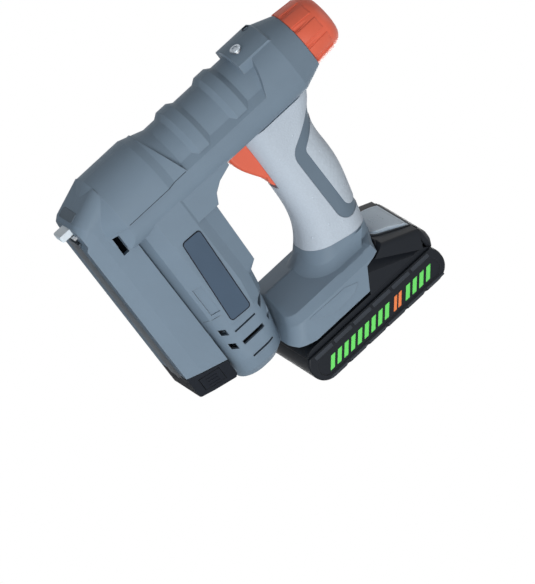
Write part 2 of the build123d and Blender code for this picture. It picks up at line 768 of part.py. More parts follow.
def housing_hollow():
    """All the room inside the housing, less the ribs and bosses that hold things."""
    bore = rod_z(BARREL_X, 0, FLOOR_Z, CEILING_Z, BORE_R)
    column = column_form(WALL) - block((-FAR, BARREL_X + HAMMER_HALF), (-FAR, FAR), (-FAR, FLOOR_Z))
    for x, width, radius in (
        (BEARING_X, BEARING_WIDTH, BEARING_R),
        (PLANET_X - CARRIER_THICK - 2, CRADLE, RING_R),
        (PLANET_X + PLANET_WIDTH - CRADLE, CRADLE, RING_R),
        (MOTOR_X + 4, CRADLE, MOTOR_R),
        (MOTOR_X + MOTOR_LENGTH - 10, CRADLE, MOTOR_R),
    ):
        column -= cradle(x, width, radius)
    well_low = DRIVE_Z - HAMMER_TRAVEL - RACK_OVERRUN - 2 * RUN
    well = block((LIFT_X - 1, LIFT_X + LIFT_WIDTH + 1), (LIFT_PITCH_R - 3, RACK_BACK + RUN),
                 (well_low, DRIVE_Z))
    handle = handle_form(SKIN + WALL) & block((BARREL_BACK + WALL, BASE_FRONT + 1), (-FAR, FAR), (-FAR, FAR))
    chamber = block((CHAMBER_X, TERMINAL_X), (-TERMINAL_HALF, TERMINAL_HALF), (CHAMBER_LOW, CHAMBER_TOP))
    throat = block((BASE_FRONT - 6, TERMINAL_X), (-12, 12), (CHAMBER_TOP - 12, CHAMBER_TOP))
    column -= block((BASE_FRONT, FAR), (-FAR, FAR), (BAY_FLOOR_Z - WALL, FAR))
    hollow = sum_parts([bore, column, well, handle, chamber, throat])
    for x, z in SCREW_PLACES:
        hollow -= screw_boss(x, z)
    return hollow - switch_ribs() - pin_bosses()


def switch_ribs():
    """Two ribs across the handle, each with a ledge, that hold the switch by its ends."""
    low, high = SWITCH_X
    rib = SWITCH_LEDGE
    top = SWITCH_LOW + SWITCH_HEIGHT
    ribs = block((low - rib, high + rib), (-FAR, FAR), (SWITCH_LOW - rib, top))
    ribs -= block((low - SEAT, high + SEAT), (-FAR, FAR), (SWITCH_LOW - SEAT, FAR))
    return ribs - block((low + rib, high - rib), (-FAR, FAR), (0, FAR))


def pin_bosses():
    """Bosses on both sides of the trigger's slot for its pin."""
    x, z = TRIGGER_PIN
    return block((x - PIN_BOSS, x + PIN_BOSS), (-FAR, FAR), (z - 2 * PIN_BOSS, z + PIN_BOSS))


def nose_way():
    """Slot through the chin for the nose tip, its arm, the front plate and the driver."""
    tip = block((-TIP_LENGTH / 2 - RUN, TIP_LENGTH / 2 + RUN), (-TIP_WIDTH / 2 - RUN, TIP_WIDTH / 2 + RUN),
                (-1, TIP_HEIGHT + TIP_TRAVEL + RUN))
    arm = block((ARM_BACK - ARM_THICK - RUN, ARM_BACK + RUN), (-ARM_HALF - RUN, ARM_HALF + RUN),
                (SOLE_Z, ARM_TOP))
    head = block((ARM_HEAD_FRONT - RUN, ARM_BACK + RUN), (-ARM_HALF - RUN, ARM_HALF + RUN),
                 (ARM_TOP - ARM_HEAD - RUN, ARM_TOP + NOSE_SPRING_LENGTH))
    plate_half = PLATE_HALF + SEAT
    plate = block((PLATE_BACK - PLATE_THICK - SEAT, PLATE_BACK + SEAT), (-plate_half, plate_half),
                  (SOLE_Z - 1, PLATE_TOP + SEAT))
    driver = block((DRIVER_X - DRIVER_THICK / 2 - RUN, DRIVER_X + DRIVER_THICK / 2 + RUN),
                   (-DRIVER_WIDTH / 2 - RUN, DRIVER_WIDTH / 2 + RUN), (0, FLOOR_Z + 1))
    return tip + arm + head + plate + driver


def magazine_way():
    """Slot along the underside for the track and the drawer."""
    track = block((TRACK_X - SEAT, FAR), (-TRACK_HALF - SEAT, TRACK_HALF + SEAT), (0, TRACK_TOP + SEAT))
    sole = block((TRACK_X + 1, FAR), (-SOLE_HALF - RUN, SOLE_HALF + RUN), (0, SOLE_Z + SOLE_THICK + RUN))
    rooms = []
    room_half = MAG_HALF - WALL
    for index in range(MAG_ROOMS):
        x = MAG_ROOM_X + index * (MAG_ROOM + MAG_RIB)
        rooms.append(block((x, x + MAG_ROOM), (-room_half, room_half), (SOLE_Z + 2 * WALL, MAG_TOP - WALL)))
    return sum_parts([track, sole, track_flange(SEAT)] + rooms)


def track_flange(gap):
    """Flange along both sides of the track, or its groove in the cover when grown by a gap."""
    reach = TRACK_HALF + TRACK_FLANGE + gap
    return block((TRACK_X - gap, TRACK_END + gap), (-reach, reach),
                 (TRACK_FLANGE_Z - gap, TRACK_FLANGE_Z + TRACK_WALL + gap))


def vent_cuts():
    """Slots round the motor's end: upright ones in the sides, slanted ones over and under them."""
    cuts = []
    for x, width in VENTS:
        cuts.append(block((x, x + width), (-FAR, FAR), (DRIVE_Z - 9.5, DRIVE_Z + 8)))
    for x in VENTS_HIGH:
        cuts.append(side_prism([
            (x, DRIVE_Z + 20), (x + 4, DRIVE_Z + 20), (x + 9, DRIVE_Z + 13.5), (x + 5, DRIVE_Z + 13.5),
        ], FAR))
    for x in VENTS_LOW:
        cuts.append(side_prism([
            (x, DRIVE_Z - 17.5), (x + 5, DRIVE_Z - 17.5), (x + 7, DRIVE_Z - 13.5), (x + 2, DRIVE_Z - 13.5),
        ], FAR))
    core = block((0, FAR), (-16, 16), (0, FAR))
    return sum_parts(cuts) - core


def trigger_way():
    """Slot in the underside of the handle for the trigger."""
    return block((BARREL_BACK, TRIGGER_PIN[0] + 4), (-TRIGGER_HALF - RUN, TRIGGER_HALF + RUN), (110, 146))


def screw_holes():
    """Clearance for each shank and a sunk seat for each head, on the right side."""
    holes = []
    for x, z in SCREW_PLACES:
        holes.append(rod_y(x, SCREW_SEAT_Y - SCREW_LENGTH - SEAT, SCREW_SEAT_Y, z, SCREW_SHANK_R + FIT))
        holes.append(rod_y(x, SCREW_SEAT_Y, FAR / 4, z, SCREW_HEAD_R + SEAT))
    return sum_parts(holes)


# Housing halves and grip skins


def housing_shell():
    shell = housing_outer() - bay_hollow() - housing_hollow()
    shell -= nose_way()
    shell -= magazine_way()
    shell -= vent_cuts()
    shell -= column_pockets()
    shell -= trigger_way()
    shell -= blade_slots(BLADE_Z[0] - 1, BLADE_Z[1] + 1, 1, SEAT)
    shell -= latch_notch()
    shell -= screw_holes()
    shell -= block(WINDOW[0], (-FAR, FAR), WINDOW[1])
    shell -= rod_z(BARREL_X, 0, CEILING_Z - 1, FAR, SCREW_R + FIT)
    for side in (-1, 1):
        shell -= rod_z(BARREL_X, side * ROD_Y, FLOOR_Z - ROD_SINK, CEILING_Z + ROD_SINK, ROD_R + FIT)
    pin_reach = TRIGGER_HALF + RUN + PIN_SINK
    shell -= rod_y(TRIGGER_PIN[0], -pin_reach, pin_reach, TRIGGER_PIN[1], TRIGGER_PIN_R + FIT)
    shell -= front_screw_seat()
    return shell


def front_screw_seat():
    """Sunk seat on the front pad for the screw that ties the halves over the barrel."""
    x = BARREL_X - PAD_R
    return rod_x(x - 1, x + FRONT_SEAT, FRONT_SCREW_Y, FRONT_SCREW_Z, SCREW_HEAD_R + SEAT) + rod_x(
        x - 1, x + FRONT_SEAT + 5, FRONT_SCREW_Y, FRONT_SCREW_Z, SCREW_SHANK_R + FIT)


def grip_skin():
    skin = handle_form(0) - handle_form(SKIN) - skin_end()
    skin -= stripe_prism()
    skin -= block((-FAR, BARREL_BACK), (-FAR, FAR), (-FAR, FAR))
    skin -= trigger_way()
    return skin - screw_holes()


# Screws


def screw_y(x, z):
    """Pan head on the right, shank towards the left."""
    head = rod_y(x, SCREW_SEAT_Y, SCREW_SEAT_Y + SCREW_HEAD, z, SCREW_HEAD_R)
    return head + rod_y(x, SCREW_SEAT_Y - SCREW_LENGTH, SCREW_SEAT_Y, z, SCREW_SHANK_R)


def front_screw():
    x = BARREL_X - PAD_R + FRONT_SEAT
    head = rod_x(x - SCREW_HEAD, x, FRONT_SCREW_Y, FRONT_SCREW_Z, SCREW_HEAD_R)
    return head + rod_x(x, x + 5, FRONT_SCREW_Y, FRONT_SCREW_Z, SCREW_SHANK_R)


# Power knob, adjusting screw and spring seat


def power_knob():
    low = BARREL_TOP + RUN
    shoulder = (KNOB_TOP_R, KNOB_TOP - KNOB_CROWN)
    turn = (KNOB_TOP_R * 0.86, KNOB_TOP - KNOB_CROWN * 0.35)
    brow = (KNOB_TOP_R * 0.55, KNOB_TOP - KNOB_CROWN * 0.12)
    outline = (
        Polyline((0, low), (KNOB_R, low), shoulder)
        + ThreePointArc(shoulder, turn, brow)
        + Polyline(brow, (0, KNOB_TOP), (0, low))
    )
    knob = Pos(BARREL_X, 0, 0) * revolve(Plane.XZ * make_face(outline), Axis.Z, 360)
    knob -= rod_z(BARREL_X, 0, low - 1, KNOB_TOP - KNOB_CROWN, KNOB_TOP_R - 2.6)
    knob += rod_z(BARREL_X, 0, low + 2, KNOB_TOP - KNOB_CROWN + 1, SCREW_R + 2.5)
    knob -= rod_z(BARREL_X, 0, low - 1, KNOB_TOP - KNOB_CROWN, SCREW_R)
    groove_r = KNOB_FLUTE_DEPTH * 1.6
    for index in range(KNOB_FLUTES):
        angle = math.radians(360 * (index + 0.35) / KNOB_FLUTES)
        reach = KNOB_R + groove_r - KNOB_FLUTE_DEPTH
        x = BARREL_X + reach * math.cos(angle)
        y = reach * math.sin(angle)
        knob -= rod_z(x, y, low - 1, KNOB_TOP - KNOB_CROWN * 0.8, groove_r)
    return knob


def adjusting_screw():
    return rod_z(BARREL_X, 0, SEAT_Z - SEAT_TRAVEL - 4, KNOB_TOP - KNOB_CROWN, SCREW_R)


def rod_ears(low, high, radius):
    """Plate across the two guide rods, cut to the bore."""
    plate = block((BARREL_X - HAMMER_HALF, BARREL_X + HAMMER_HALF), (-FAR, FAR), (low, high))
    plate &= rod_z(BARREL_X, 0, low, high, radius)
    for side in (-1, 1):
        plate -= rod_z(BARREL_X, side * ROD_Y, low - 1, high + 1, ROD_R + FIT)
    return plate


def spring_seat():
    seat = rod_ears(SEAT_Z, SEAT_Z + SEAT_THICK, BORE_R - RUN)
    return seat - rod_z(BARREL_X, 0, SEAT_Z - 1, SEAT_Z + SEAT_THICK + 1, SCREW_R + FIT)


def coil(radius, wire, turns, length, steps=8):
    """Spring along +Z from the origin, as straight runs of six-sided wire."""
    sections = []
    count = turns * steps
    climb = length - 2 * wire
    for index in range(count + 1):
        angle = 2 * math.pi * index / steps
        out = Vector(math.cos(angle), math.sin(angle), 0)
        along = Vector(-math.sin(angle) * radius, math.cos(angle) * radius, climb / (2 * math.pi * turns))
        place = out * radius + Vector(0, 0, wire + climb * index / count)
        sections.append(Plane(origin=place, x_dir=out, z_dir=along) * RegularPolygon(wire, 6))
    return loft(sections, ruled=True)


def main_spring():
    low = HAMMER_LOW + HAMMER_HEIGHT + SEAT
    length = SEAT_Z - SEAT - low
    return Pos(BARREL_X, 0, low) * coil(SPRING_R, SPRING_WIRE_R, SPRING_TURNS, length)


# Hammer, driver and lifting gear


def involute(angle):
    return math.tan(angle) - angle


def gear_face(teeth, module, addendum, dedendum, thinning, first=0, kept=None):
    """Involute gear outline with a tooth at the first axis; kept is how many teeth are left."""
    pitch_r = module * teeth / 2
    base_r = pitch_r * math.cos(math.radians(PRESSURE))
    tip_r = pitch_r + addendum * module
    root_r = pitch_r - dedendum * module
    start_r = max(base_r, root_r)
    half_at_pitch = (math.pi * module / 2 - thinning) / (2 * pitch_r)
    flank = []
    for step in range(4):
        radius = start_r + (tip_r - start_r) * step / 3
        half = half_at_pitch + involute(math.radians(PRESSURE)) - involute(math.acos(base_r / radius))
        flank.append((radius, half))
    if root_r < start_r:
        flank.insert(0, (root_r, flank[0][1]))
    kept = teeth if kept is None else kept
    points = []
    for index in range(teeth):
        middle = 2 * math.pi * (first + index) / teeth
        if index < kept:
            rising = [(radius, middle - half) for radius, half in flank]
            falling = [(radius, middle + half) for radius, half in reversed(flank)]
            corners = rising + falling
        else:
            corners = [(root_r, middle - math.pi / teeth / 2), (root_r, middle + math.pi / teeth / 2)]
        points += [(radius * math.cos(angle), radius * math.sin(angle)) for radius, angle in corners]
    return make_face(Polyline(*points, close=True))


def gear_x(face, x, width):
    """Gear on the drive axis, from x over its width."""
    return Pos(x, 0, DRIVE_Z) * extrude(Plane.YZ * face, width)


def rack_teeth():
    """Straight rack on the hammer's arm, facing the lifting gear."""
    pitch = math.pi * LIFT_MODULE
    slope = math.tan(math.radians(PRESSURE))
    tip_y = LIFT_PITCH_R - ADDENDUM * LIFT_MODULE
    half = pitch / 4 - BACKLASH / 2
    teeth = []
    for index in range(1, round(HAMMER_TRAVEL / pitch) + 1):
        z = DRIVE_Z - (index - 0.5) * pitch
        root_half = half + (RACK_ROOT_Y - LIFT_PITCH_R) * slope
        tip_half = half - ADDENDUM * LIFT_MODULE * slope
        outline = Polyline(
            (RACK_ROOT_Y, z - root_half),
            (tip_y, z - tip_half),
            (tip_y, z + tip_half),
            (RACK_ROOT_Y, z + root_half),
            close=True,
        )
        teeth.append(extrude(Plane.YZ.offset(LIFT_X) * make_face(outline), LIFT_WIDTH))
    return sum_parts(teeth)


def hammer():
    body = rod_ears(HAMMER_LOW, HAMMER_LOW + HAMMER_HEIGHT, BORE_R - RUN)
    arm_top = ARM_LOW + ARM_HEIGHT
    tail_x = BARREL_X + HAMMER_HALF - 6
    body += block((tail_x, BARREL_X + HAMMER_HALF), (RACK_ROOT_Y, RACK_BACK), (ARM_LOW, HAMMER_LOW + 8))
    body += block((tail_x, LIFT_X + LIFT_WIDTH), (RACK_ROOT_Y, RACK_BACK), (ARM_LOW, arm_top))
    rack_low = DRIVE_Z - HAMMER_TRAVEL - RACK_OVERRUN
    body += block((LIFT_X, LIFT_X + LIFT_WIDTH), (RACK_ROOT_Y, RACK_BACK), (rack_low, arm_top))
    body += rack_teeth()
    slot_half = DRIVER_THICK / 2 + SEAT
    return body - block((DRIVER_X - slot_half, DRIVER_X + slot_half),
                        (-DRIVER_WIDTH / 2 - SEAT, DRIVER_WIDTH / 2 + SEAT), (0, DRIVER_TOP + SEAT))


def driver_blade():
    return block((DRIVER_X - DRIVER_THICK / 2, DRIVER_X + DRIVER_THICK / 2),
                 (-DRIVER_WIDTH / 2, DRIVER_WIDTH / 2), (SOLE_Z + SOLE_THICK, DRIVER_TOP))


def bumper():
    """Rubber stop under the hammer."""
    pad = block((BARREL_X - HAMMER_HALF + 1, BARREL_X + 3), (-11, 11), (FLOOR_Z, HAMMER_LOW - RUN))
    pad = fillet(pad.edges().filter_by(Axis.Z), 3)
    slot_half = DRIVER_THICK / 2 + 2 * RUN
    return pad - block((DRIVER_X - slot_half, DRIVER_X + slot_half),
                       (-DRIVER_WIDTH / 2 - 2 * RUN, DRIVER_WIDTH / 2 + 2 * RUN), (0, FAR))


def lifting_gear():
    first = 2 - LIFT_LEFT
    face = gear_face(LIFT_TEETH, LIFT_MODULE, ADDENDUM, DEDENDUM, BACKLASH, first, LIFT_LEFT)
    return gear_x(face, LIFT_X, LIFT_WIDTH) - rod_x(LIFT_X - 1, FAR, 0, DRIVE_Z, OUTPUT_R)


def planet_centre(index):
    angle = 2 * math.pi * index / PLANETS
    reach = GEAR_MODULE * (SUN_TEETH + PLANET_TEETH) / 2
    return reach * math.cos(angle), DRIVE_Z + reach * math.sin(angle)


def carrier():
    """Disc with a pin for each planet, and the shaft that turns the lifting gear."""
    back = PLANET_X - RUN
    plate = rod_x(back - CARRIER_THICK, back, 0, DRIVE_Z, CARRIER_R)
    plate += rod_x(LIFT_X, back, 0, DRIVE_Z, OUTPUT_R)
    for index in range(PLANETS):
        y, z = planet_centre(index)
        plate += rod_x(back - 1, PLANET_X + PLANET_WIDTH, y, z, PLANET_PIN_R)
    return plate


def planet(index):
    y, z = planet_centre(index)
    face = gear_face(PLANET_TEETH, GEAR_MODULE, ADDENDUM, DEDENDUM, BACKLASH, 0.5)
    turn = 360 * index / PLANETS
    gear = Pos(PLANET_X, y, z) * Rot(turn, 0, 0) * extrude(Plane.YZ * face, PLANET_WIDTH)
    return gear - rod_x(PLANET_X - 1, PLANET_X + PLANET_WIDTH + 1, y, z, PLANET_PIN_R + FIT)


def sun_gear():
    face = gear_face(SUN_TEETH, GEAR_MODULE, ADDENDUM, DEDENDUM, BACKLASH)
    return gear_x(face, PLANET_X, PLANET_WIDTH) - rod_x(PLANET_X - 1, FAR, 0, DRIVE_Z, SHAFT_R)


def ring_gear():
    hole = gear_face(RING_TEETH, GEAR_MODULE, DEDENDUM, ADDENDUM, -BACKLASH, 0.5)
    start = PLANET_X - CARRIER_THICK - 2
    ring = rod_x(start, MOTOR_X - SEAT, 0, DRIVE_Z, RING_R)
    ring -= rod_x(start - 1, PLANET_X - RUN / 2, 0, DRIVE_Z, RING_R - 2)
    return ring - gear_x(hole, PLANET_X - RUN, FAR)


def output_bearing():
    return rod_x(BEARING_X, BEARING_X + BEARING_WIDTH, 0, DRIVE_Z, BEARING_R) - rod_x(
        0, FAR, 0, DRIVE_Z, OUTPUT_R + FIT)


# Motor


def motor_can():
    end = MOTOR_X + MOTOR_LENGTH - MOTOR_CAP
    can = rod_x(MOTOR_X, end, 0, DRIVE_Z, MOTOR_R)
    can -= rod_x(MOTOR_X + MOTOR_WALL, end + 1, 0, DRIVE_Z, MOTOR_R - MOTOR_WALL)
    return can - rod_x(MOTOR_X - 1, FAR, 0, DRIVE_Z, SHAFT_R + FIT)


def motor_magnets():
    """Two arcs against the can's wall."""
    low, high = MOTOR_X + 8, MOTOR_X + MOTOR_LENGTH - MOTOR_CAP - 8
    tube = rod_x(low, high, 0, DRIVE_Z, MOTOR_R - MOTOR_WALL - SEAT)
    tube -= rod_x(low - 1, high + 1, 0, DRIVE_Z, MOTOR_R - MOTOR_WALL - MAGNET_THICK)
    gap = block((0, FAR), (-4, 4), (0, FAR))
    return tube - gap


def motor_cap():
    start = MOTOR_X + MOTOR_LENGTH - MOTOR_CAP
    cap = rod_x(start, start + MOTOR_CAP, 0, DRIVE_Z, MOTOR_CAP_R)
    cap += rod_x(start - MOTOR_CAP, start, 0, DRIVE_Z, MOTOR_R - MOTOR_WALL - SEAT)
    cap -= rod_x(start - MOTOR_CAP - 1, start + MOTOR_CAP / 2, 0, DRIVE_Z, MOTOR_CAP_R - 3)
    return cap - rod_x(start - 1, FAR, 0, DRIVE_Z, SHAFT_R + FIT)


def motor_shaft():
    return rod_x(PLANET_X + RUN, FAN_X + FAN_WIDTH, 0, DRIVE_Z, SHAFT_R)


def armature():
    """Slotted core with the commutator behind it."""
    low, high = MOTOR_X + 10, MOTOR_X + MOTOR_LENGTH - MOTOR_CAP - 10
    core = rod_x(low, high, 0, DRIVE_Z, ARMATURE_R)
    for index in range(5):
        angle = 2 * math.pi * index / 5
        y = ARMATURE_R * math.cos(angle)
        z = DRIVE_Z + ARMATURE_R * math.sin(angle)
        core -= rod_x(low - 1, high + 1, y, z, 2.2)
    core += rod_x(high, high + 7, 0, DRIVE_Z, 4.5)
    return core - rod_x(low - 1, FAR, 0, DRIVE_Z, SHAFT_R)


def cooling_fan():
    fan = rod_x(FAN_X, FAN_X + 1.5, 0, DRIVE_Z, FAN_R) + rod_x(FAN_X, FAN_X + FAN_WIDTH, 0, DRIVE_Z, 4)
    for index in range(FAN_BLADES):
        blade = block((FAN_X, FAN_X + FAN_WIDTH), (3, FAN_R - 0.5), (-0.5, 0.5))
        fan += Pos(0, 0, DRIVE_Z) * Rot(360 * index / FAN_BLADES, 0, 0) * blade
    return fan - rod_x(0, FAR, 0, DRIVE_Z, SHAFT_R)


# Nose


def nose_tip():
    tip = block((-TIP_LENGTH / 2, TIP_LENGTH / 2), (-TIP_WIDTH / 2, TIP_WIDTH / 2), (0, TIP_HEIGHT))
    tip = chamfer(tip.edges().group_by(Axis.Z)[0], 0.6)
    return tip - block((ARM_BACK - ARM_THICK, ARM_BACK), (-ARM_HALF, ARM_HALF), (TIP_HEIGHT - 4, FAR))


def nose_arm():
    arm = block((ARM_BACK - ARM_THICK, ARM_BACK), (-ARM_HALF, ARM_HALF), (TIP_HEIGHT - 4, ARM_TOP))
    return arm + block((ARM_HEAD_FRONT, ARM_BACK), (-ARM_HALF, ARM_HALF), (ARM_TOP - ARM_HEAD, ARM_TOP))


def front_plate():
    """Steel plate that closes the front of the driver's channel."""
    return block((PLATE_BACK - PLATE_THICK, PLATE_BACK), (-PLATE_HALF, PLATE_HALF), (SOLE_Z, PLATE_TOP))


def nose_spring():
    spring = coil(NOSE_SPRING_R, NOSE_SPRING_WIRE_R, 6, NOSE_SPRING_LENGTH - 2 * SEAT, 6)
    return Pos((ARM_HEAD_FRONT + ARM_BACK) / 2, 0, ARM_TOP + SEAT) * spring


# Trigger


def trigger():
    pin_x, pin_z = TRIGGER_PIN
    outline = (
        Line((TRIGGER_FRONT, pin_z + 3), (TRIGGER_FRONT, TRIGGER_LOW))
        + Spline((TRIGGER_FRONT, TRIGGER_LOW), (TRIGGER_FRONT + 12, TRIGGER_LOW + 1.8),
                 (TRIGGER_FRONT + 24, TRIGGER_LOW + 8), (pin_x - 5, TRIGGER_LOW + 12.2))
        + ThreePointArc((pin_x - 5, TRIGGER_LOW + 12.2), (pin_x + 2.5, pin_z - 2), (pin_x, pin_z + 3))
        + Line((pin_x, pin_z + 3), (TRIGGER_FRONT, pin_z + 3))
    )
    lever = extrude(Plane.XZ * make_face(outline), TRIGGER_HALF, both=True)
    lower = lever.edges().filter_by(GeomType.BSPLINE).filter_by(lambda edge: abs(edge.center().Y) > 1)
    lever = fillet(lower, TRIGGER_ROUND)
    return lever - rod_y(pin_x, -FAR, FAR, pin_z, TRIGGER_PIN_R + FIT)


def trigger_pin():
    reach = TRIGGER_HALF + RUN + PIN_SINK - SEAT
    return rod_y(TRIGGER_PIN[0], -reach, reach, TRIGGER_PIN[1], TRIGGER_PIN_R)


def trigger_switch():
    """Switch over the trigger."""
    return block(SWITCH_X, (-SWITCH_HALF, SWITCH_HALF), (SWITCH_LOW, SWITCH_LOW + SWITCH_HEIGHT))


def trigger_spring():
    low = TRIGGER_PIN[1] + 3 + SEAT
    return Pos(TRIGGER_SPRING_X, 0, low) * coil(3, 0.5, 4, SWITCH_LOW - SEAT - low, 6)


# Magazine


def magazine_track():
    low = SOLE_Z + SOLE_THICK + 2 * RUN
    track = block((TRACK_X, TRACK_END), (-TRACK_HALF, TRACK_HALF), (low, TRACK_TOP))
    inner = TRACK_HALF - TRACK_WALL
    track += track_flange(0)
    track -= block((0, FAR), (-inner, inner), (0, TRACK_TOP - TRACK_WALL))
    (low_x, high_x), (low_z, high_z) = WINDOW
    return track - block((low_x + 1, high_x - 1), (-FAR, FAR), (low_z + 0.5, high_z - 0.5))


def magazine_rail():
    """Sole plate with the upright core that the staples straddle."""
    sole = block((TRACK_X + 2, MAG_END_LOW + 4), (-SOLE_HALF, SOLE_HALF), (SOLE_Z, SOLE_Z + SOLE_THICK))
    core = block((TRACK_X + 2, MAG_END_LOW + 6), (-CORE_HALF, CORE_HALF), (SOLE_Z, CORE_TOP))
    return sole + core


def staple_strip():
    strip = block((STRIP_X, STRIP_X + STRIP_LENGTH), (-CROWN_HALF, CROWN_HALF), (STAPLE_LOW, STAPLE_TOP))
    inner = CROWN_HALF - STAPLE_WIRE
    return strip - block((0, FAR), (-inner, inner), (0, STAPLE_TOP - STAPLE_WIRE))


def pusher():
    start = STRIP_X + STRIP_LENGTH + SEAT
    slide = block((start, start + PUSHER_LENGTH), (-CROWN_HALF, CROWN_HALF), (STAPLE_LOW, STAPLE_TOP))
    return slide - block((0, FAR), (-CORE_HALF - RUN, CORE_HALF + RUN), (0, CORE_TOP + RUN))


def pusher_spring():
    start = STRIP_X + STRIP_LENGTH + PUSHER_LENGTH + 2 * SEAT
    low_end = MAG_END_LOW + (MAG_END_TOP - MAG_END_LOW) * (PUSH_SPRING_Z - 3 - SOLE_Z) / (MAG_TOP - SOLE_Z)
    spring = coil(2.2, 0.45, 12, low_end - start, 6)
    return Pos(start, 0, PUSH_SPRING_Z) * Rot(0, 90, 0) * spring


def magazine_end():
    """Black end of the drawer, with a pocket each side for its latch."""
    end = side_prism([
        (MAG_END_LOW + RUN, SOLE_Z),
        (MAG_END_TOP + RUN, MAG_TOP - 0.5),
        (END_BACK_TOP - 2, MAG_TOP - 0.5),
        (END_BACK_TOP, MAG_TOP - 2.5),
        (END_BACK_LOW, SOLE_Z + 1),
        (END_BACK_LOW - 1, SOLE_Z),
    ], MAG_HALF)
    end -= magazine_rail()
    end -= magazine_lean()
    for side in (-1, 1):
        end -= latch_form(side, RUN)
    return end


def latch_form(side, gap):
    """Latch plate in the drawer end's side, or its pocket when grown by a gap."""
    low, high = LATCH_Z
    depth = LATCH_THICK + (LATCH_PRESS + RUN if gap else 0)
    lean = (END_BACK_TOP - END_BACK_LOW) / (MAG_TOP - SOLE_Z) * (high - low)
    plate = make_face(Polyline(
        (LATCH_X - gap, low - gap),
        (LATCH_X + LATCH_LENGTH + gap, low - gap),
        (LATCH_X + LATCH_LENGTH + lean + gap, high + gap),
        (LATCH_X + lean - gap, high + gap),
        close=True,
    ))
    inner = MAG_HALF - depth
    slab = extrude(Plane.XZ * plate, FAR, both=True)
    outer = FAR if gap else MAG_HALF
    span = (inner, outer) if side > 0 else (-outer, -inner)
    return slab & block((-FAR, FAR), span, (-FAR, FAR))


def latch_spring(side):
    """Bowed leaf that stands on the floor of the pocket and pushes the latch out."""
    lean = (END_BACK_TOP - END_BACK_LOW) / (MAG_TOP - SOLE_Z) * (LATCH_Z[1] - LATCH_Z[0]) / 2
    middle_x = LATCH_X + LATCH_LENGTH / 2 + lean
    middle_z = sum(LATCH_Z) / 2
    floor = MAG_HALF - LATCH_THICK - LATCH_PRESS - RUN + SEAT / 2
    rise = LATCH_PRESS + RUN - SEAT
    half = LEAF_LENGTH / 2
    radius = (half ** 2 + rise ** 2) / (2 * rise)
    inner_half = math.sqrt((radius - LEAF_THICK) ** 2 - (radius - rise) ** 2)

    def spot(out, along):
        return side * (floor + out), middle_z + along

    outline = (
        ThreePointArc(spot(0, -half), spot(rise, 0), spot(0, half))
        + Line(spot(0, half), spot(0, inner_half))
        + ThreePointArc(spot(0, inner_half), spot(rise - LEAF_THICK, 0), spot(0, -inner_half))
        + Line(spot(0, -inner_half), spot(0, -half))
    )
    return extrude(Plane.YZ.offset(middle_x - LEAF_WIDTH / 2) * make_face(outline), LEAF_WIDTH)


# Battery


def pack_outline(inset):
    """Stadium that the cell block shows from the side."""
    low, high = PACK_LOW + inset, PACK_HIGH - inset
    wide = PACK_OUTER_X - PACK_INNER_X - 2 * inset
    middle = Pos((PACK_INNER_X + PACK_OUTER_X) / 2, (low + high) / 2)
    return middle * RectangleRounded(wide, high - low, PACK_ROUND - inset)


def pack_block(inset, half):
    return extrude(Plane.XZ * pack_outline(inset), half, both=True)


def battery_case():
    """Outer half of the cell block, with shallow grooves across its back."""
    case = pack_block(0, PACK_HALF)
    case = fillet(case.edges().filter_by(lambda e: abs(e.center().Y) > PACK_HALF - 0.1), PACK_EDGE)
    case &= block((PACK_SPLIT_X, FAR), (-FAR, FAR), (-FAR, FAR))
    middle = (PACK_LOW + PACK_HIGH) / 2
    for index in range(SCALLOPS - 1):
        z = middle + (index - (SCALLOPS - 2) / 2) * SCALLOP_PITCH
        case -= rod_y(PACK_OUTER_X + SCALLOP_DEPTH, -FAR / 8, FAR / 8, z, 2 * SCALLOP_DEPTH)
    case -= pack_block(PACK_WALL, PACK_HALF - PACK_WALL)
    panel_height = PACK_HIGH - PACK_LOW - 2 * PANEL_MARGIN
    panel_width = PANEL_X[1] - PANEL_X[0]
    outline = RectangleRounded(panel_width, panel_height, panel_width / 2 - SEAT)
    panel = extrude(Plane.XZ * Pos(sum(PANEL_X) / 2, middle) * outline, FAR, both=True)
    inside = block((-FAR, FAR), (PANEL_DEPTH - PACK_HALF, PACK_HALF - PANEL_DEPTH), (-FAR, FAR))
    return case - (panel - inside)


def head_profile():
    low_x, low_z = BUTTON_LOW
    high_x, high_z = BUTTON_HIGH
    front = BAY_WALL_X + RUN
    return [
        (front, BAY_FLOOR_Z + RUN),
        (front, low_z - 2),
        (low_x, low_z - 1),
        (low_x, low_z),
        (high_x, high_z),
        (high_x + 1.5, PACK_HIGH),
        (NECK_X, PACK_HIGH),
        (NECK_X, BAY_FLOOR_Z + RUN),
    ]


def battery_cover():
    """Inner half of the cell block with the neck and the head that slide in the shoe."""
    plate_half = PACK_HALF - PACK_GROOVE
    plate = pack_block(0, plate_half) & block((-FAR, PACK_SPLIT_X), (-FAR, FAR), (-FAR, FAR))
    neck = block((NECK_X - 1, PACK_INNER_X + 1), (-NECK_HALF, NECK_HALF), (BAY_FLOOR_Z + RUN, PACK_HIGH - 2))
    head = side_prism(head_profile(), HEAD_HALF) + side_prism(shoulder_profile(), SHOULDER_HALF)
    cover = plate + neck + (head & shoulder_roof())
    cover -= pack_block(PACK_WALL, plate_half - PACK_WALL)
    room_half = NECK_HALF - PACK_WALL
    cover -= block((BAY_WALL_X + RUN + PACK_WALL, PACK_SPLIT_X), (-room_half, room_half),
                   (BAY_FLOOR_Z + RUN + PACK_WALL, BUTTON_LOW[1] - 20))
    cover += cell_ribs()
    half = BLADE_THICK / 2 + RUN
    for y in BLADE_Y:
        cover -= block((BAY_WALL_X, BAY_WALL_X + BLADE_REACH + 2 * RUN), (y - half, y + half),
                       (0, BLADE_Z[1] + 2 * RUN))
    return cover - button_form(RUN, BUTTON_TRAVEL + BUTTON_THICK) - catch_room()


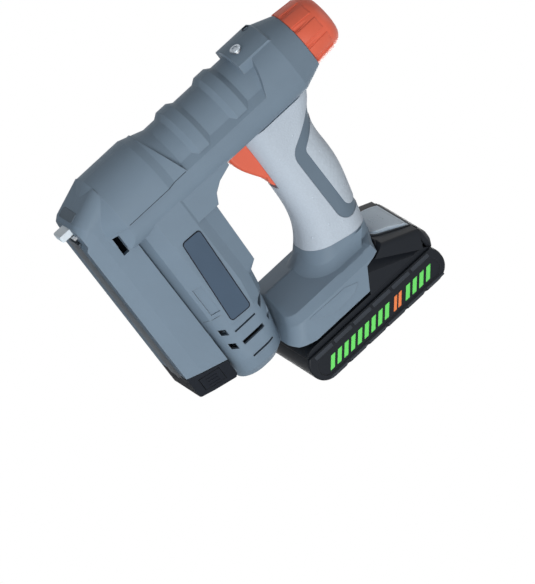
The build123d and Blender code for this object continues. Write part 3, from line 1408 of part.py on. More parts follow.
def shoulder_profile():
    """The head's shoulder over the shoe's notch, seen from the side."""
    notch_x, notch_z = NOTCH_TOP
    fall = (NOTCH_TOP[1] - NOTCH_LOW_Z) / (BASE_BACK - notch_x)
    inner = PACK_INNER_X + SEAT
    gap = 2 * RUN
    return [
        (notch_x - NOTCH_LEAN + gap, BASE_SIDE_TOP + gap),
        (notch_x + gap, notch_z + gap),
        (inner, notch_z - fall * (inner - notch_x) + gap),
        (inner, PACK_HIGH - 3),
        (BUTTON_HIGH[0] + 1.5, PACK_HIGH),
        BUTTON_HIGH,
        BUTTON_LOW,
        (BUTTON_LOW[0], BUTTON_LOW[1] - 1),
    ]


def shoulder_roof():
    """Everything under the button's slope, with a rim and a hollow fall to both sides."""
    half = SHOULDER_HALF + 1
    rim_y, rim_z = SHOULDER_RIM
    valley_y, valley_z = SHOULDER_VALLEY
    outline = (
        Polyline((-rim_y, rim_z), (-SHOULDER_FLAT, 0), (SHOULDER_FLAT, 0), (rim_y, rim_z))
        + ThreePointArc((rim_y, rim_z), (valley_y, valley_z), (half, -SHOULDER_DROP))
        + Polyline((half, -SHOULDER_DROP), (half, -FAR), (-half, -FAR), (-half, -SHOULDER_DROP))
        + ThreePointArc((-half, -SHOULDER_DROP), (-valley_y, valley_z), (-rim_y, rim_z))
    )
    across = Plane(origin=(BUTTON_LOW[0], 0, BUTTON_LOW[1]), x_dir=(0, 1, 0), z_dir=BUTTON_RISE)
    return extrude(across * make_face(outline), FAR, both=True)


def cell_ribs():
    """Two upright combs that hold the cells against the outer case."""
    ribs = []
    reach = (PACK_INNER_X + PACK_WALL / 2, CELL_X - CELL_R / 3)
    for y in (-CELL_RIB_Y, CELL_RIB_Y):
        ribs.append(block(reach, (y - CELL_RIB / 2, y + CELL_RIB / 2),
                          (PACK_LOW + PACK_ROUND, PACK_HIGH - PACK_ROUND)))
    combs = sum_parts(ribs)
    for index in range(CELL_COUNT):
        combs -= rod_y(CELL_X, -FAR / 10, FAR / 10, cell_z(index), CELL_R + SEAT)
    return combs


def button_plane():
    low_x, low_z = BUTTON_LOW
    return Plane(origin=(low_x, 0, low_z), x_dir=(0, -1, 0), z_dir=(-BUTTON_RISE.Z, 0, BUTTON_RISE.X))


def button_form(gap, depth):
    """Release button's plate in the sloping face, or its pocket when grown by a gap."""
    length = (Vector(BUTTON_HIGH[0], 0, BUTTON_HIGH[1]) - Vector(BUTTON_LOW[0], 0, BUTTON_LOW[1])).length
    face = make_face(Polyline(
        (-BUTTON_LOW_HALF - gap, 1.5 - gap),
        (BUTTON_LOW_HALF + gap, 1.5 - gap),
        (BUTTON_HIGH_HALF + gap, length - 2 + gap),
        (-BUTTON_HIGH_HALF - gap, length - 2 + gap),
        close=True,
    ))
    face = fillet(face.vertices().group_by(Axis.Y)[0], BUTTON_ROUND + gap)
    proud = 5 if gap else BUTTON_PROUD
    return extrude(button_plane() * Pos(0, 0, -depth) * face, depth + proud)


def catch_room():
    """Room in the head for the catch and its stem over the button's travel."""
    half = CATCH_HALF + RUN
    return block((CATCH_X, CATCH_X + CATCH_DEPTH + BUTTON_TRAVEL + RUN), (-half, half),
                 (CATCH_Z[0] - BUTTON_TRAVEL, CATCH_ROOM_TOP))


def release_button():
    """Button with a stem down to the catch that holds the battery in the shoe."""
    catch = block((CATCH_X, CATCH_X + CATCH_DEPTH), (-CATCH_HALF, CATCH_HALF), CATCH_Z)
    stem = block((CATCH_X + CATCH_DEPTH / 2, CATCH_X + CATCH_DEPTH), (-CATCH_HALF, CATCH_HALF),
                 (CATCH_Z[0], CATCH_ROOM_TOP))
    return button_form(0, BUTTON_THICK) + catch + stem


def button_spring():
    plane = button_plane()
    place = plane.location * Pos(0, 16, -BUTTON_THICK - SEAT) * Rot(180, 0, 0)
    return place * coil(4, 0.5, 3, BUTTON_TRAVEL - 2 * SEAT, 6)


def cell_z(index):
    return (PACK_LOW + PACK_HIGH) / 2 + (index - (CELL_COUNT - 1) / 2) * CELL_PITCH


def battery_cells():
    half = CELL_LENGTH / 2
    return [rod_y(CELL_X, -half, half, cell_z(index), CELL_R) for index in range(CELL_COUNT)]


def cell_straps():
    """Welded strips that join the cells in a row, end to end."""
    half = CELL_LENGTH / 2 + SEAT
    straps = []
    for side, pairs in ((-1, ((0, 1), (2, 3), (4, 4))), (1, ((0, 0), (1, 2), (3, 4)))):
        for first, last in pairs:
            y = (side * half, side * (half + STRAP_THICK))
            ends = (cell_z(first) - STRAP_END, cell_z(last) + STRAP_END)
            straps.append(block((CELL_X - STRAP_HALF, CELL_X + STRAP_HALF), (min(y), max(y)), ends))
    return straps


def battery_board():
    half = NECK_HALF - PACK_WALL - SEAT
    low = BAY_FLOOR_Z + RUN + PACK_WALL + SEAT
    return block((BOARD_X, BOARD_X + BOARD_THICK), (-half, half), (low, low + BOARD_HEIGHT))


def battery_contacts():
    """Spring jaws that grip the shoe's blades."""
    contacts = []
    inner = BLADE_THICK / 2 + 2 * SEAT
    outer = inner + JAW_THICK
    for y in BLADE_Y:
        jaw = block((BAY_WALL_X + PACK_WALL + 3 * RUN, BOARD_X - SEAT), (y - outer, y + outer), BLADE_Z)
        contacts.append(jaw - block((0, BAY_WALL_X + BLADE_REACH + 1), (y - inner, y + inner), (0, FAR)))
    return contacts


# Tool side electrics


def terminal_block():
    body = block((CHAMBER_X + SEAT, TERMINAL_X - SEAT), (-TERMINAL_HALF + SEAT, TERMINAL_HALF - SEAT),
                 (CHAMBER_LOW + SEAT, TERMINAL_TOP))
    return body - sum_parts(terminal_blades())


def terminal_blades():
    half = BLADE_THICK / 2
    return [block((CHAMBER_X + 2, BAY_WALL_X + BLADE_REACH), (y - half, y + half), BLADE_Z) for y in BLADE_Y]


def control_board():
    """Board that stands on the terminal block, against the shoe's front wall."""
    front = CHAMBER_X + SEAT
    half = TERMINAL_HALF - SEAT
    return block((front, front + BOARD_THICK), (-half, half), (TERMINAL_TOP + SEAT, CHAMBER_TOP - SEAT))


shell = housing_shell()
skin = grip_skin()
palm = palm_prism()
guide_rods = [rod_z(BARREL_X, side * ROD_Y, FLOOR_Z - ROD_SINK + SEAT, CEILING_Z + ROD_SINK - SEAT, ROD_R)
              for side in (-1, 1)]

PIECES = {
    "left_housing": left_half(shell),
    "right_housing": right_half(shell),
    "left_grip": left_half(skin - palm),
    "right_grip": right_half(skin - palm),
    "left_palm_patch": left_half(skin & palm),
    "right_palm_patch": right_half(skin & palm),
    "housing_screws": [screw_y(x, z) for x, z in SCREW_PLACES],
    "front_screw": front_screw(),
    "power_knob": power_knob(),
    "adjusting_screw": adjusting_screw(),
    "spring_seat": spring_seat(),
    "main_spring": main_spring(),
    "guide_rods": guide_rods,
    "hammer": hammer(),
    "driver_blade": driver_blade(),
    "bumper": bumper(),
    "lifting_gear": lifting_gear(),
    "planet_carrier": carrier(),
    "planet_gear_1": planet(0),
    "planet_gear_2": planet(1),
    "planet_gear_3": planet(2),
    "ring_gear": ring_gear(),
    "output_bearing": output_bearing(),
    "sun_gear": sun_gear(),
    "motor_shaft": motor_shaft(),
    "armature": armature(),
    "cooling_fan": cooling_fan(),
    "motor_can": motor_can(),
    "motor_magnets": motor_magnets(),
    "motor_cap": motor_cap(),
    "nose_tip": nose_tip(),
    "nose_arm": nose_arm(),
    "nose_spring": nose_spring(),
    "front_plate": front_plate(),
    "trigger": trigger(),
    "trigger_pin": trigger_pin(),
    "trigger_switch": trigger_switch(),
    "trigger_spring": trigger_spring(),
    "magazine_track": magazine_track(),
    "magazine_rail": magazine_rail(),
    "magazine_end": magazine_end(),
    "left_latch": latch_form(-1, 0),
    "right_latch": latch_form(1, 0),
    "left_latch_spring": latch_spring(-1),
    "right_latch_spring": latch_spring(1),
    "staple_strip": staple_strip(),
    "pusher": pusher(),
    "pusher_spring": pusher_spring(),
    "battery_case": battery_case(),
    "battery_cover": battery_cover(),
    "battery_cells": battery_cells(),
    "cell_straps": cell_straps(),
    "battery_board": battery_board(),
    "battery_contacts": battery_contacts(),
    "release_button": release_button(),
    "button_spring": button_spring(),
    "terminal_block": terminal_block(),
    "terminal_blades": terminal_blades(),
    "control_board": control_board(),
}

os.makedirs("parts", exist_ok=True)
for name, piece in PIECES.items():
    if isinstance(piece, list):
        piece = Compound(children=piece)
    export_step(piece, f"parts/{name}.step")
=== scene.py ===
# %% [markdown]
# A cordless stapler in Blender. The solids come from CAD and are loaded as a fixed frame, in
# metres, so nothing has to be placed by eye. This lesson gives them their finishes and adds
# the small pieces that CAD leaves out.

# %% Load the frame
import json
import math

import bmesh
import bpy
from mathutils import Matrix, Vector


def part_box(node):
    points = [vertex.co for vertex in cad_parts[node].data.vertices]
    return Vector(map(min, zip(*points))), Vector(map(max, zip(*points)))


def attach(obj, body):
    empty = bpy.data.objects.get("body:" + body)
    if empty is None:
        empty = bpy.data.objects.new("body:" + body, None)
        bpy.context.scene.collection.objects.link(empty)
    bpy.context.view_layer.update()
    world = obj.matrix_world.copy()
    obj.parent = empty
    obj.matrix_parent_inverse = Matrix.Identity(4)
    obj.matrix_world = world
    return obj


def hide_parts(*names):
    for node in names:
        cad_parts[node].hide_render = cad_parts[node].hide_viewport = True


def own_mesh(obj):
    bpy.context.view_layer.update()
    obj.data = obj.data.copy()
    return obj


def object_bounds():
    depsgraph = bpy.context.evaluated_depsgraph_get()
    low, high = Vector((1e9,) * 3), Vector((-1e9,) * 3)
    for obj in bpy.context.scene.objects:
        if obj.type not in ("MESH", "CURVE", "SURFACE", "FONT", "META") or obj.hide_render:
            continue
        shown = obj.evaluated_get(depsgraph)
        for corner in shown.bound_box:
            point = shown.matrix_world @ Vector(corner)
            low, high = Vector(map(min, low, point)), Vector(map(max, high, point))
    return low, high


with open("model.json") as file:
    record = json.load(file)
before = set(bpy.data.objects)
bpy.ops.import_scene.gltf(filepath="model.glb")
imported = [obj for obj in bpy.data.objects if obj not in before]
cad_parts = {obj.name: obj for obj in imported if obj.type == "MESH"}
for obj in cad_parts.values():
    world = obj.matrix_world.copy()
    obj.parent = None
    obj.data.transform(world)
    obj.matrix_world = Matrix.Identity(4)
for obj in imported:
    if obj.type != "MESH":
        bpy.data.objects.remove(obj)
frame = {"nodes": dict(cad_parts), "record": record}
nodes = frame["nodes"]
cad_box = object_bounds()

# %% [markdown]
# The camera stands a little below the tool, in front and on its left, with a long lens. It is
# turned about its own axis, because the tool lies slanted across the picture. A Track To constraint
# could aim it, but that keeps the picture level. So the camera's own three directions are worked out
# and put into its matrix.

# %% Camera
azimuth = math.radians(-30)
elevation = math.radians(-9)
roll = math.radians(47.15)
distance = 8.0
picture_rows = 584
metres_per_pixel = 0.00064
sensor = 36
aim_start = Vector((0.0104, 0, 0))
aim_along = 0.1062
aim_up = 0.0752
aim_deep = 0.055

level = Vector((math.cos(azimuth), math.sin(azimuth), 0))
upright = Vector((
    -math.sin(azimuth) * math.sin(elevation),
    math.cos(azimuth) * math.sin(elevation),
    math.cos(elevation),
))
back = level.cross(upright)
camera_right = level * math.cos(roll) + upright * math.sin(roll)
camera_up = upright * math.cos(roll) - level * math.sin(roll)
aim = aim_start + level * aim_along + upright * aim_up - back * aim_deep

lens_data = bpy.data.cameras.new("photo_camera")
lens_data.sensor_width = sensor
lens_data.lens = sensor * distance / (picture_rows * metres_per_pixel)
lens_data.clip_end = 30
camera = bpy.data.objects.new("photo_camera", lens_data)
bpy.context.scene.collection.objects.link(camera)
rotation = Matrix((camera_right, camera_up, back)).transposed().to_4x4()
camera.matrix_world = Matrix.Translation(aim + back * distance) @ rotation
bpy.context.scene.camera = camera
print("lens", round(lens_data.lens), "mm")

# %% [markdown]
# A product picture has even, soft light. A point lamp would draw hard shadows and small glints, so
# each lamp is a wide area. A strong one stands on the near side, a second one on the far side, and two
# weak ones fill the front of the barrel and the top.

# %% Lamps
def soft_lamp(name, place, watts, size):
    """A square lamp that points where the camera does."""
    data = bpy.data.lights.new(name, "AREA")
    data.energy = watts
    data.size = size
    lamp = bpy.data.objects.new(name, data)
    bpy.context.scene.collection.objects.link(lamp)
    lamp.location = place
    lamp.rotation_euler = (aim - Vector(place)).to_track_quat("-Z", "Y").to_euler()


soft_lamp("near_lamp", (0.15, -1.03, -0.25), watts=9.3, size=0.5)
soft_lamp("far_lamp", (1.0, 1.0, 0.35), watts=9, size=0.8)
soft_lamp("front_lamp", (-0.45, -0.15, -0.3), watts=0.7, size=0.4)
soft_lamp("top_lamp", (-0.1, -0.3, 1.4), watts=3.2, size=0.8)

# %% [markdown]
# Backgrounds and finishes are node trees. In the window one adds each node from a menu and pulls a
# line from socket to socket. Three helpers do that here, so that the later cells show what is joined
# to what and little else.

# %% Node helpers
def add(tree, kind, **values):
    """A new node. Each value goes to the socket of its name, or else to the setting of its name."""
    node = tree.nodes.new(kind)
    for name, value in values.items():
        socket = node.inputs.get(name.replace("_", " "))
        if socket is not None:
            socket.default_value = value
        else:
            setattr(node, name, value)
    return node


def larger(tree, first, second):
    """The larger of two values."""
    choice = add(tree, "ShaderNodeMath", operation="MAXIMUM")
    tree.links.new(first, choice.inputs[0])
    tree.links.new(second, choice.inputs[1])
    return choice.outputs[0]


def ramp(tree, value, start, end, low=0.0, high=1.0):
    """A value that goes from low to high while another goes from start to end."""
    spread = add(tree, "ShaderNodeMapRange", From_Min=start, From_Max=end, To_Min=low, To_Max=high)
    tree.links.new(value, spread.inputs["Value"])
    return spread.outputs["Result"]


print("node helpers ready")

# %% [markdown]
# The background is white. A world that is white all over would also light the tool from every side
# and wash out its forms. So Light Path sorts the rays: the camera, reflections and glass see white,
# and every other ray gets a weak grey to light with.

# %% World
sky_light = 0.17
world = bpy.data.worlds.new("studio")
bpy.context.scene.world = world
world.use_nodes = True
sky = world.node_tree
sky.nodes.clear()
sky_ray = add(sky, "ShaderNodeLightPath")
direct = larger(sky, sky_ray.outputs["Is Camera Ray"], sky_ray.outputs["Is Transmission Ray"])
seen = larger(sky, direct, sky_ray.outputs["Is Glossy Ray"])
glow = add(sky, "ShaderNodeBackground", Color=(1, 1, 1, 1))
sky.links.new(ramp(sky, seen, 0, 1, sky_light, 1), glow.inputs["Strength"])
sky_out = add(sky, "ShaderNodeOutputWorld")
sky.links.new(glow.outputs["Background"], sky_out.inputs["Surface"])
bpy.context.scene.view_settings.view_transform = "Standard"
print("world lights with", sky_light, "and shows white")

# %% [markdown]
# The camera looks up at the tool from below the floor. Without a floor the views from above would
# lose the shadow, so there is one, but it is one-sided: from above it is a plain pale sheet that takes
# the shadow, and from below it is clear. It is clear to shadow rays too, so that a lamp may stand lower
# than the floor. To the camera alone it glows a little, because most of the light comes from the sides
# and would leave a flat sheet grey.

# %% Floor
floor_size = 6
floor_gap = 0.0002
floor_glow = 0.42


def start_finish(name, colour, roughness):
    """A material of one colour and roughness, with its node tree and its shader."""
    finish = bpy.data.materials.new(name)
    finish.use_nodes = True
    finish.diffuse_color = (*colour, 1)
    shader = finish.node_tree.nodes["Principled BSDF"]
    shader.inputs["Base Color"].default_value = (*colour, 1)
    shader.inputs["Roughness"].default_value = roughness
    return finish, finish.node_tree, shader


bpy.ops.object.select_all(action="DESELECT")
bpy.ops.mesh.primitive_plane_add(size=floor_size, location=(aim.x, aim.y, cad_box[0].z - floor_gap))
floor = bpy.context.object
floor.name = "floor"
floor_finish, floor_tree, sheet = start_finish("pale_floor", (0.86, 0.87, 0.88), 0.7)
sheet.inputs["Emission Color"].default_value = (1, 1, 1, 1)
floor_ray = add(floor_tree, "ShaderNodeLightPath")
camera_glow = ramp(floor_tree, floor_ray.outputs["Is Camera Ray"], 0, 1, 0, floor_glow)
floor_tree.links.new(camera_glow, sheet.inputs["Emission Strength"])
underside = add(floor_tree, "ShaderNodeNewGeometry").outputs["Backfacing"]
see_through = larger(floor_tree, underside, floor_ray.outputs["Is Shadow Ray"])
clear = add(floor_tree, "ShaderNodeBsdfTransparent")
choose = add(floor_tree, "ShaderNodeMixShader")
floor_tree.links.new(see_through, choose.inputs["Fac"])
floor_tree.links.new(sheet.outputs["BSDF"], choose.inputs[1])
floor_tree.links.new(clear.outputs["BSDF"], choose.inputs[2])
floor_tree.links.new(choose.outputs["Shader"], floor_tree.nodes["Material Output"].inputs["Surface"])
floor.data.materials.append(floor_finish)
print("floor", floor_size, "m wide")

# %% [markdown]
# A finish can be a painted picture, but that needs an unwrapped mesh for every piece. Patterns that
# nodes work out from the piece's own coordinates need none, and they stay on the piece when it moves.
# These helpers put a pattern on a piece, mix two colours by it, and raise a bump from it.

# %% Finish helpers
def on_piece(tree, kind, **values):
    """A pattern, or a mapping for one, that lies on the piece's own coordinates."""
    pattern = add(tree, kind, **values)
    tree.links.new(add(tree, "ShaderNodeTexCoord").outputs["Object"], pattern.inputs["Vector"])
    return pattern


def between(tree, factor, low, high):
    """Colour that goes from low to high with a factor."""
    mix = add(tree, "ShaderNodeMix", data_type="RGBA")
    tree.links.new(factor, mix.inputs["Factor"])
    for socket, colour in ((mix.inputs[6], low), (mix.inputs[7], high)):
        if isinstance(colour, tuple):
            socket.default_value = (*colour, 1)
        else:
            tree.links.new(colour, socket)
    return mix.outputs[2]


def scaled(colour, factor):
    """A colour made darker or lighter."""
    return tuple(min(1, channel * factor) for channel in colour)


def bumped(tree, height, strength, distance, under=None, invert=False):
    """The normal of a surface that a pattern raises, over the normal that lies under it."""
    bump = add(tree, "ShaderNodeBump", Strength=strength, Distance=distance, invert=invert)
    tree.links.new(height, bump.inputs["Height"])
    if under is not None:
        tree.links.new(under, bump.inputs["Normal"])
    return bump.outputs["Normal"]


print("finish helpers ready")

# %% [markdown]
# Most of the tool is moulded plastic. It has a fine grain from the mould, its colour is never
# quite even, and its edges are softened and a little lighter: partly wear, partly a painted highlight
# where light catches them. One function makes that finish, and each plastic gets its own colour, gloss
# and grain. The edges could be bevelled, but the CAD meshes stay as they are. The Bevel node rounds them
# in the shading alone, and where it bends the normal there is an edge, which is where the wear and the
# painted highlight go.

# %% Moulded plastic
cloud_scale = 35.0
patch_share = 0.08
edge_round = 0.0006
worn_highlit_keep = 0.55
worn_highlit_white = 0.32


def moulded(name, colour, roughness, grain, depth, edge_wear_and_highlight=0.35, shine=0.5):
    """Plastic with a grain of that size and depth in metres, and paler edges that are partly wear and
    partly a painted highlight.
    """
    finish, tree, shader = start_finish(name, colour, roughness)
    shader.inputs["Specular IOR Level"].default_value = shine
    cloud = on_piece(tree, "ShaderNodeTexNoise", Scale=cloud_scale, Detail=3.0).outputs["Fac"]
    pores = on_piece(tree, "ShaderNodeTexNoise", Scale=1 / grain, Detail=2.0, Roughness=0.6)
    tone = between(tree, cloud, scaled(colour, 1 - patch_share), scaled(colour, 1 + patch_share))
    rounding = add(tree, "ShaderNodeBevel", Radius=edge_round, samples=4).outputs["Normal"]
    bend = add(tree, "ShaderNodeVectorMath", operation="DOT_PRODUCT")
    tree.links.new(rounding, bend.inputs[0])
    tree.links.new(add(tree, "ShaderNodeNewGeometry").outputs["Normal"], bend.inputs[1])
    # Edges are lightened: partly wear, partly a painted highlight where light would catch them.
    worn_and_highlit = ramp(tree, bend.outputs["Value"], 0.99, 0.75, 0, edge_wear_and_highlight)
    pale = tuple(channel * worn_highlit_keep + worn_highlit_white for channel in colour)
    tree.links.new(between(tree, worn_and_highlit, tone, pale), shader.inputs["Base Color"])
    gloss = ramp(tree, cloud, 0, 1, roughness - 0.06, roughness + 0.08)
    tree.links.new(gloss, shader.inputs["Roughness"])
    tree.links.new(bumped(tree, pores.outputs["Fac"], 0.6, depth, rounding), shader.inputs["Normal"])
    return finish


slate = moulded(
    "slate_housing", (0.175, 0.236, 0.300), roughness=0.55, grain=0.0007, depth=0.00006, shine=0.2)
orange = moulded(
    "orange_plastic", (0.73, 0.125, 0.065), roughness=0.45, grain=0.0005, depth=0.00003, edge_wear_and_highlight=0.15)
black = moulded(
    "black_battery", (0.0115, 0.0142, 0.0190), roughness=0.42, grain=0.0006, depth=0.00004, edge_wear_and_highlight=0.07,
    shine=0.15)
latch_black = moulded(
    "black_latch", (0.011, 0.014, 0.020), roughness=0.5, grain=0.0005, depth=0.00003, edge_wear_and_highlight=0.06, shine=0.1)
button_grey = moulded("grey_button", (0.57, 0.68, 0.78), roughness=0.48, grain=0.0006, depth=0.00005)
pale_tip = moulded("pale_tip", (0.69, 0.76, 0.81), roughness=0.4, grain=0.0004, depth=0.00002, edge_wear_and_highlight=0.1)
print("plastics", [finish.name for finish in (slate, orange, black, latch_black, button_grey, pale_tip)])

# %% [markdown]
# The hook-shaped stripe between the grips is moulded in one with the housing and lies sunk between them,
# and its colour is darkened there as painted shade. Its faces could get a finish of their own, but the
# housing's mesh stays as it is. So a box in the finish tells where the stripe is: the distance from the
# box's middle is compared with its half size on each axis, and inside the colour is darkened, which is
# painted shade.

# %% Painted shade on the stripe
stripe_low = (0.040, -0.025, 0.143)
stripe_high = (0.1235, 0.025, 0.190)
stripe_painted_shade = 0.78


def paint_shade_in_box(finish, low, high, factor):
    tree = finish.node_tree
    low, high = Vector(low), Vector(high)
    base = tree.nodes["Principled BSDF"].inputs["Base Color"]
    plain = base.links[0].from_socket
    offset = on_piece(tree, "ShaderNodeVectorMath", operation="SUBTRACT")
    offset.inputs[1].default_value = (low + high) / 2
    reach = add(tree, "ShaderNodeVectorMath", operation="ABSOLUTE")
    tree.links.new(offset.outputs["Vector"], reach.inputs[0])
    share = add(tree, "ShaderNodeVectorMath", operation="DIVIDE")
    share.inputs[1].default_value = (high - low) / 2
    tree.links.new(reach.outputs["Vector"], share.inputs[0])
    axes = add(tree, "ShaderNodeSeparateXYZ")
    tree.links.new(share.outputs["Vector"], axes.inputs["Vector"])
    farthest = larger(tree, larger(tree, axes.outputs["X"], axes.outputs["Y"]), axes.outputs["Z"])
    inside = add(tree, "ShaderNodeMath", operation="LESS_THAN")
    inside.inputs[1].default_value = 1.0
    tree.links.new(farthest, inside.inputs[0])
    shaded_colour = add(tree, "ShaderNodeVectorMath", operation="SCALE", Scale=factor)
    tree.links.new(plain, shaded_colour.inputs[0])
    # Inside the box the colour is darkened: painted shade for the sunk stripe.
    tree.links.new(between(tree, inside.outputs[0], plain, shaded_colour.outputs["Vector"]), base)


paint_shade_in_box(slate, stripe_low, stripe_high, stripe_painted_shade)
print("stripe darkened to", stripe_painted_shade)

# %% [markdown]
# The grip is a soft skin with a pebbled surface. Real pebbles would take a great many faces, and a bump
# shows them as well at this size. They are Voronoi cells, small and shallow on the grip and coarser on
# the palm patch, so that the hand doesn't slip there, and the hollows between them are darkened, which is
# painted shade. Here and there a small nub stands up, which is a second, wide Voronoi pattern: only the
# places close to the middle of a cell count. The nubs are lightened, a painted highlight on their tops.

# %% Soft grip
nub_spacing = 0.0075
nub_height = 0.0003
skin_round = 0.0008


def soft_skin(name, colour, pebble, depth):
    """A dull skin with pebbles of that size and depth in metres."""
    finish, tree, shader = start_finish(name, colour, 0.72)
    cells = on_piece(tree, "ShaderNodeTexVoronoi", Scale=1 / pebble, feature="SMOOTH_F1", Smoothness=0.6)
    hollows = cells.outputs["Distance"]
    cloud = on_piece(tree, "ShaderNodeTexNoise", Scale=28.0, Detail=4.0).outputs["Fac"]
    tone = between(tree, cloud, scaled(colour, 0.93), scaled(colour, 1.06))
    # Hollows between pebbles are darkened: painted shade.
    hollows_shaded = between(tree, ramp(tree, hollows, 0.2, 0.7, 0, 0.25), tone, scaled(colour, 0.78))
    spots = on_piece(tree, "ShaderNodeTexVoronoi", Scale=1 / nub_spacing).outputs["Distance"]
    nub_and_highlight = ramp(tree, spots, 0.11, 0.07)
    # Nubs are lightened: a painted highlight on their tops, over their real bump.
    tree.links.new(between(tree, nub_and_highlight, hollows_shaded, scaled(colour, 1.14)), shader.inputs["Base Color"])
    rounding = add(tree, "ShaderNodeBevel", Radius=skin_round, samples=4).outputs["Normal"]
    pebbles = bumped(tree, hollows, 0.7, depth, rounding, invert=True)
    tree.links.new(bumped(tree, nub_and_highlight, 0.8, nub_height, pebbles), shader.inputs["Normal"])
    return finish


grip_skin = soft_skin("grip_skin", (0.49, 0.56, 0.64), pebble=0.0011, depth=0.00012)
palm_skin = soft_skin("palm_skin", (0.49, 0.56, 0.635), pebble=0.0022, depth=0.0003)
print("skins", grip_skin.name, "and", palm_skin.name)

# %% [markdown]
# Steel pieces are bright where they are bare and dark where they are oiled. The shader's anisotropy
# could stretch their reflections, but it draws no lines. So the brushing is noise that a Mapping node
# stretches along one axis, and it changes the tone, the gloss and the bump.

# %% Steel and brass
def brushed(name, colour, roughness, stretch):
    finish, tree, shader = start_finish(name, colour, roughness)
    shader.inputs["Metallic"].default_value = 1.0
    along = on_piece(tree, "ShaderNodeMapping", Scale=stretch)
    noise = add(tree, "ShaderNodeTexNoise", Scale=900.0, Detail=2.0)
    tree.links.new(along.outputs["Vector"], noise.inputs["Vector"])
    lines = noise.outputs["Fac"]
    tone = between(tree, lines, scaled(colour, 0.85), scaled(colour, 1.1))
    tree.links.new(tone, shader.inputs["Base Color"])
    gloss = ramp(tree, lines, 0, 1, roughness - 0.08, roughness + 0.1)
    tree.links.new(gloss, shader.inputs["Roughness"])
    tree.links.new(bumped(tree, lines, 0.25, 0.00002), shader.inputs["Normal"])
    return finish


steel = brushed("bright_steel", (0.56, 0.57, 0.58), roughness=0.3, stretch=(0.03, 1, 1))
oiled_steel = brushed("oiled_steel", (0.150, 0.178, 0.205), roughness=0.38, stretch=(1, 1, 0.05))
brass = brushed("brass", (0.72, 0.52, 0.25), roughness=0.3, stretch=(1, 1, 0.05))
print("metals", [finish.name for finish in (steel, oiled_steel, brass)])

# %% [markdown]
# What is inside shows only when the tool is opened up, but it gets its own finishes too: a
# rubber bumper, green boards, wrapped cells and grey magnets. The moulded finish in other colours is
# enough for them. The motor's can, cap and fan get a near-black finish, which is painted shade: behind
# the vents they stay dark.

# %% Inner finishes
rubber = moulded("bumper_rubber", (0.03, 0.03, 0.03), roughness=0.8, grain=0.0009, depth=0.00005, edge_wear_and_highlight=0.1)
board_green = moulded(
    "green_board", (0.02, 0.14, 0.06), roughness=0.35, grain=0.0012, depth=0.00002, edge_wear_and_highlight=0.2)
cell_wrap = moulded("cell_wrap", (0.05, 0.22, 0.42), roughness=0.3, grain=0.002, depth=0.00001, edge_wear_and_highlight=0.1)
magnet_grey = moulded(
    "magnet_grey", (0.12, 0.12, 0.13), roughness=0.6, grain=0.0005, depth=0.00004, edge_wear_and_highlight=0.2)
# Near-black painted shade for the motor seen through the vents.
motor_painted_shade = moulded(
    "motor_painted_shade", (0.02, 0.021, 0.023), roughness=0.6, grain=0.0005, depth=0.00004, edge_wear_and_highlight=0.1, shine=0.2)
inner_finishes = (rubber, board_green, cell_wrap, magnet_grey, motor_painted_shade)
print("inner finishes", [finish.name for finish in inner_finishes])

# %% [markdown]
# Now every CAD piece gets its finish. One could pick them one by one, but the record already says which
# material each piece is made of. So one list goes from those slots to finishes, and a second one holds
# the pieces that look different from the rest of their slot.

# %% Finishes on the solids
finish_of_slot = {
    "housing": slate, "grip": grip_skin, "orange": orange, "black": black, "button": button_grey,
    "steel": steel, "dark_steel": oiled_steel, "brass": brass, "pale": pale_tip, "bumper": rubber,
    "board": board_green, "cell": cell_wrap, "magnet": magnet_grey,
}
# Among them, the motor pieces get painted shade in place of their slot's finish.
finish_of_node = {
    "left_palm_patch": palm_skin, "right_palm_patch": palm_skin, "magazine_end": latch_black,
    "left_latch": latch_black, "right_latch": latch_black, "magazine_rail": oiled_steel,
    "motor_can": motor_painted_shade, "motor_cap": motor_painted_shade, "cooling_fan": motor_painted_shade,
}
for subpart in frame["record"]["subparts"]:
    node = nodes[subpart["node"]]
    usual_finish = finish_of_slot[subpart["material_slot"]]
    node.data.materials.clear()
    node.data.materials.append(finish_of_node.get(subpart["node"], usual_finish))
print("finishes on", len(nodes), "nodes")

# %% [markdown]
# The small pieces are modelled the way one works by hand: a block is added at its size and
# place, some of its corners, edges or faces are picked, and a tool is used on them. They could be
# picked by number, but numbers change with every cut. Picking by place still works when a size
# changes. A few helpers keep that short.

# %% Modelling helpers
hair = 0.0001


def same(first, second):
    """Whether two measures are less than a hair apart."""
    return abs(first - second) < hair


def start_editing(name):
    """Name the primitive that was just added, put its place into its mesh and open it."""
    piece = bpy.context.object
    piece.name = name
    piece.data.name = name
    bpy.ops.object.transform_apply()
    bpy.ops.object.mode_set(mode="EDIT")
    return piece


def start_block(name, corner, opposite, rotation=(0, 0, 0)):
    """A block between two opposite corners, turned about its own middle."""
    corner, opposite = Vector(corner), Vector(opposite)
    size = [abs(length) for length in opposite - corner]
    bpy.ops.object.select_all(action="DESELECT")
    bpy.ops.mesh.primitive_cube_add(
        size=1, location=(corner + opposite) / 2, rotation=rotation, scale=size)
    return start_editing(name)


def start_disc(name, middle, radius, depth, out, corners):
    """A disc whose axis points outward."""
    bpy.ops.object.select_all(action="DESELECT")
    bpy.ops.mesh.primitive_cylinder_add(
        vertices=corners, radius=radius, depth=depth, location=middle,
        rotation=out.to_track_quat("Z", "Y").to_euler())
    return start_editing(name)


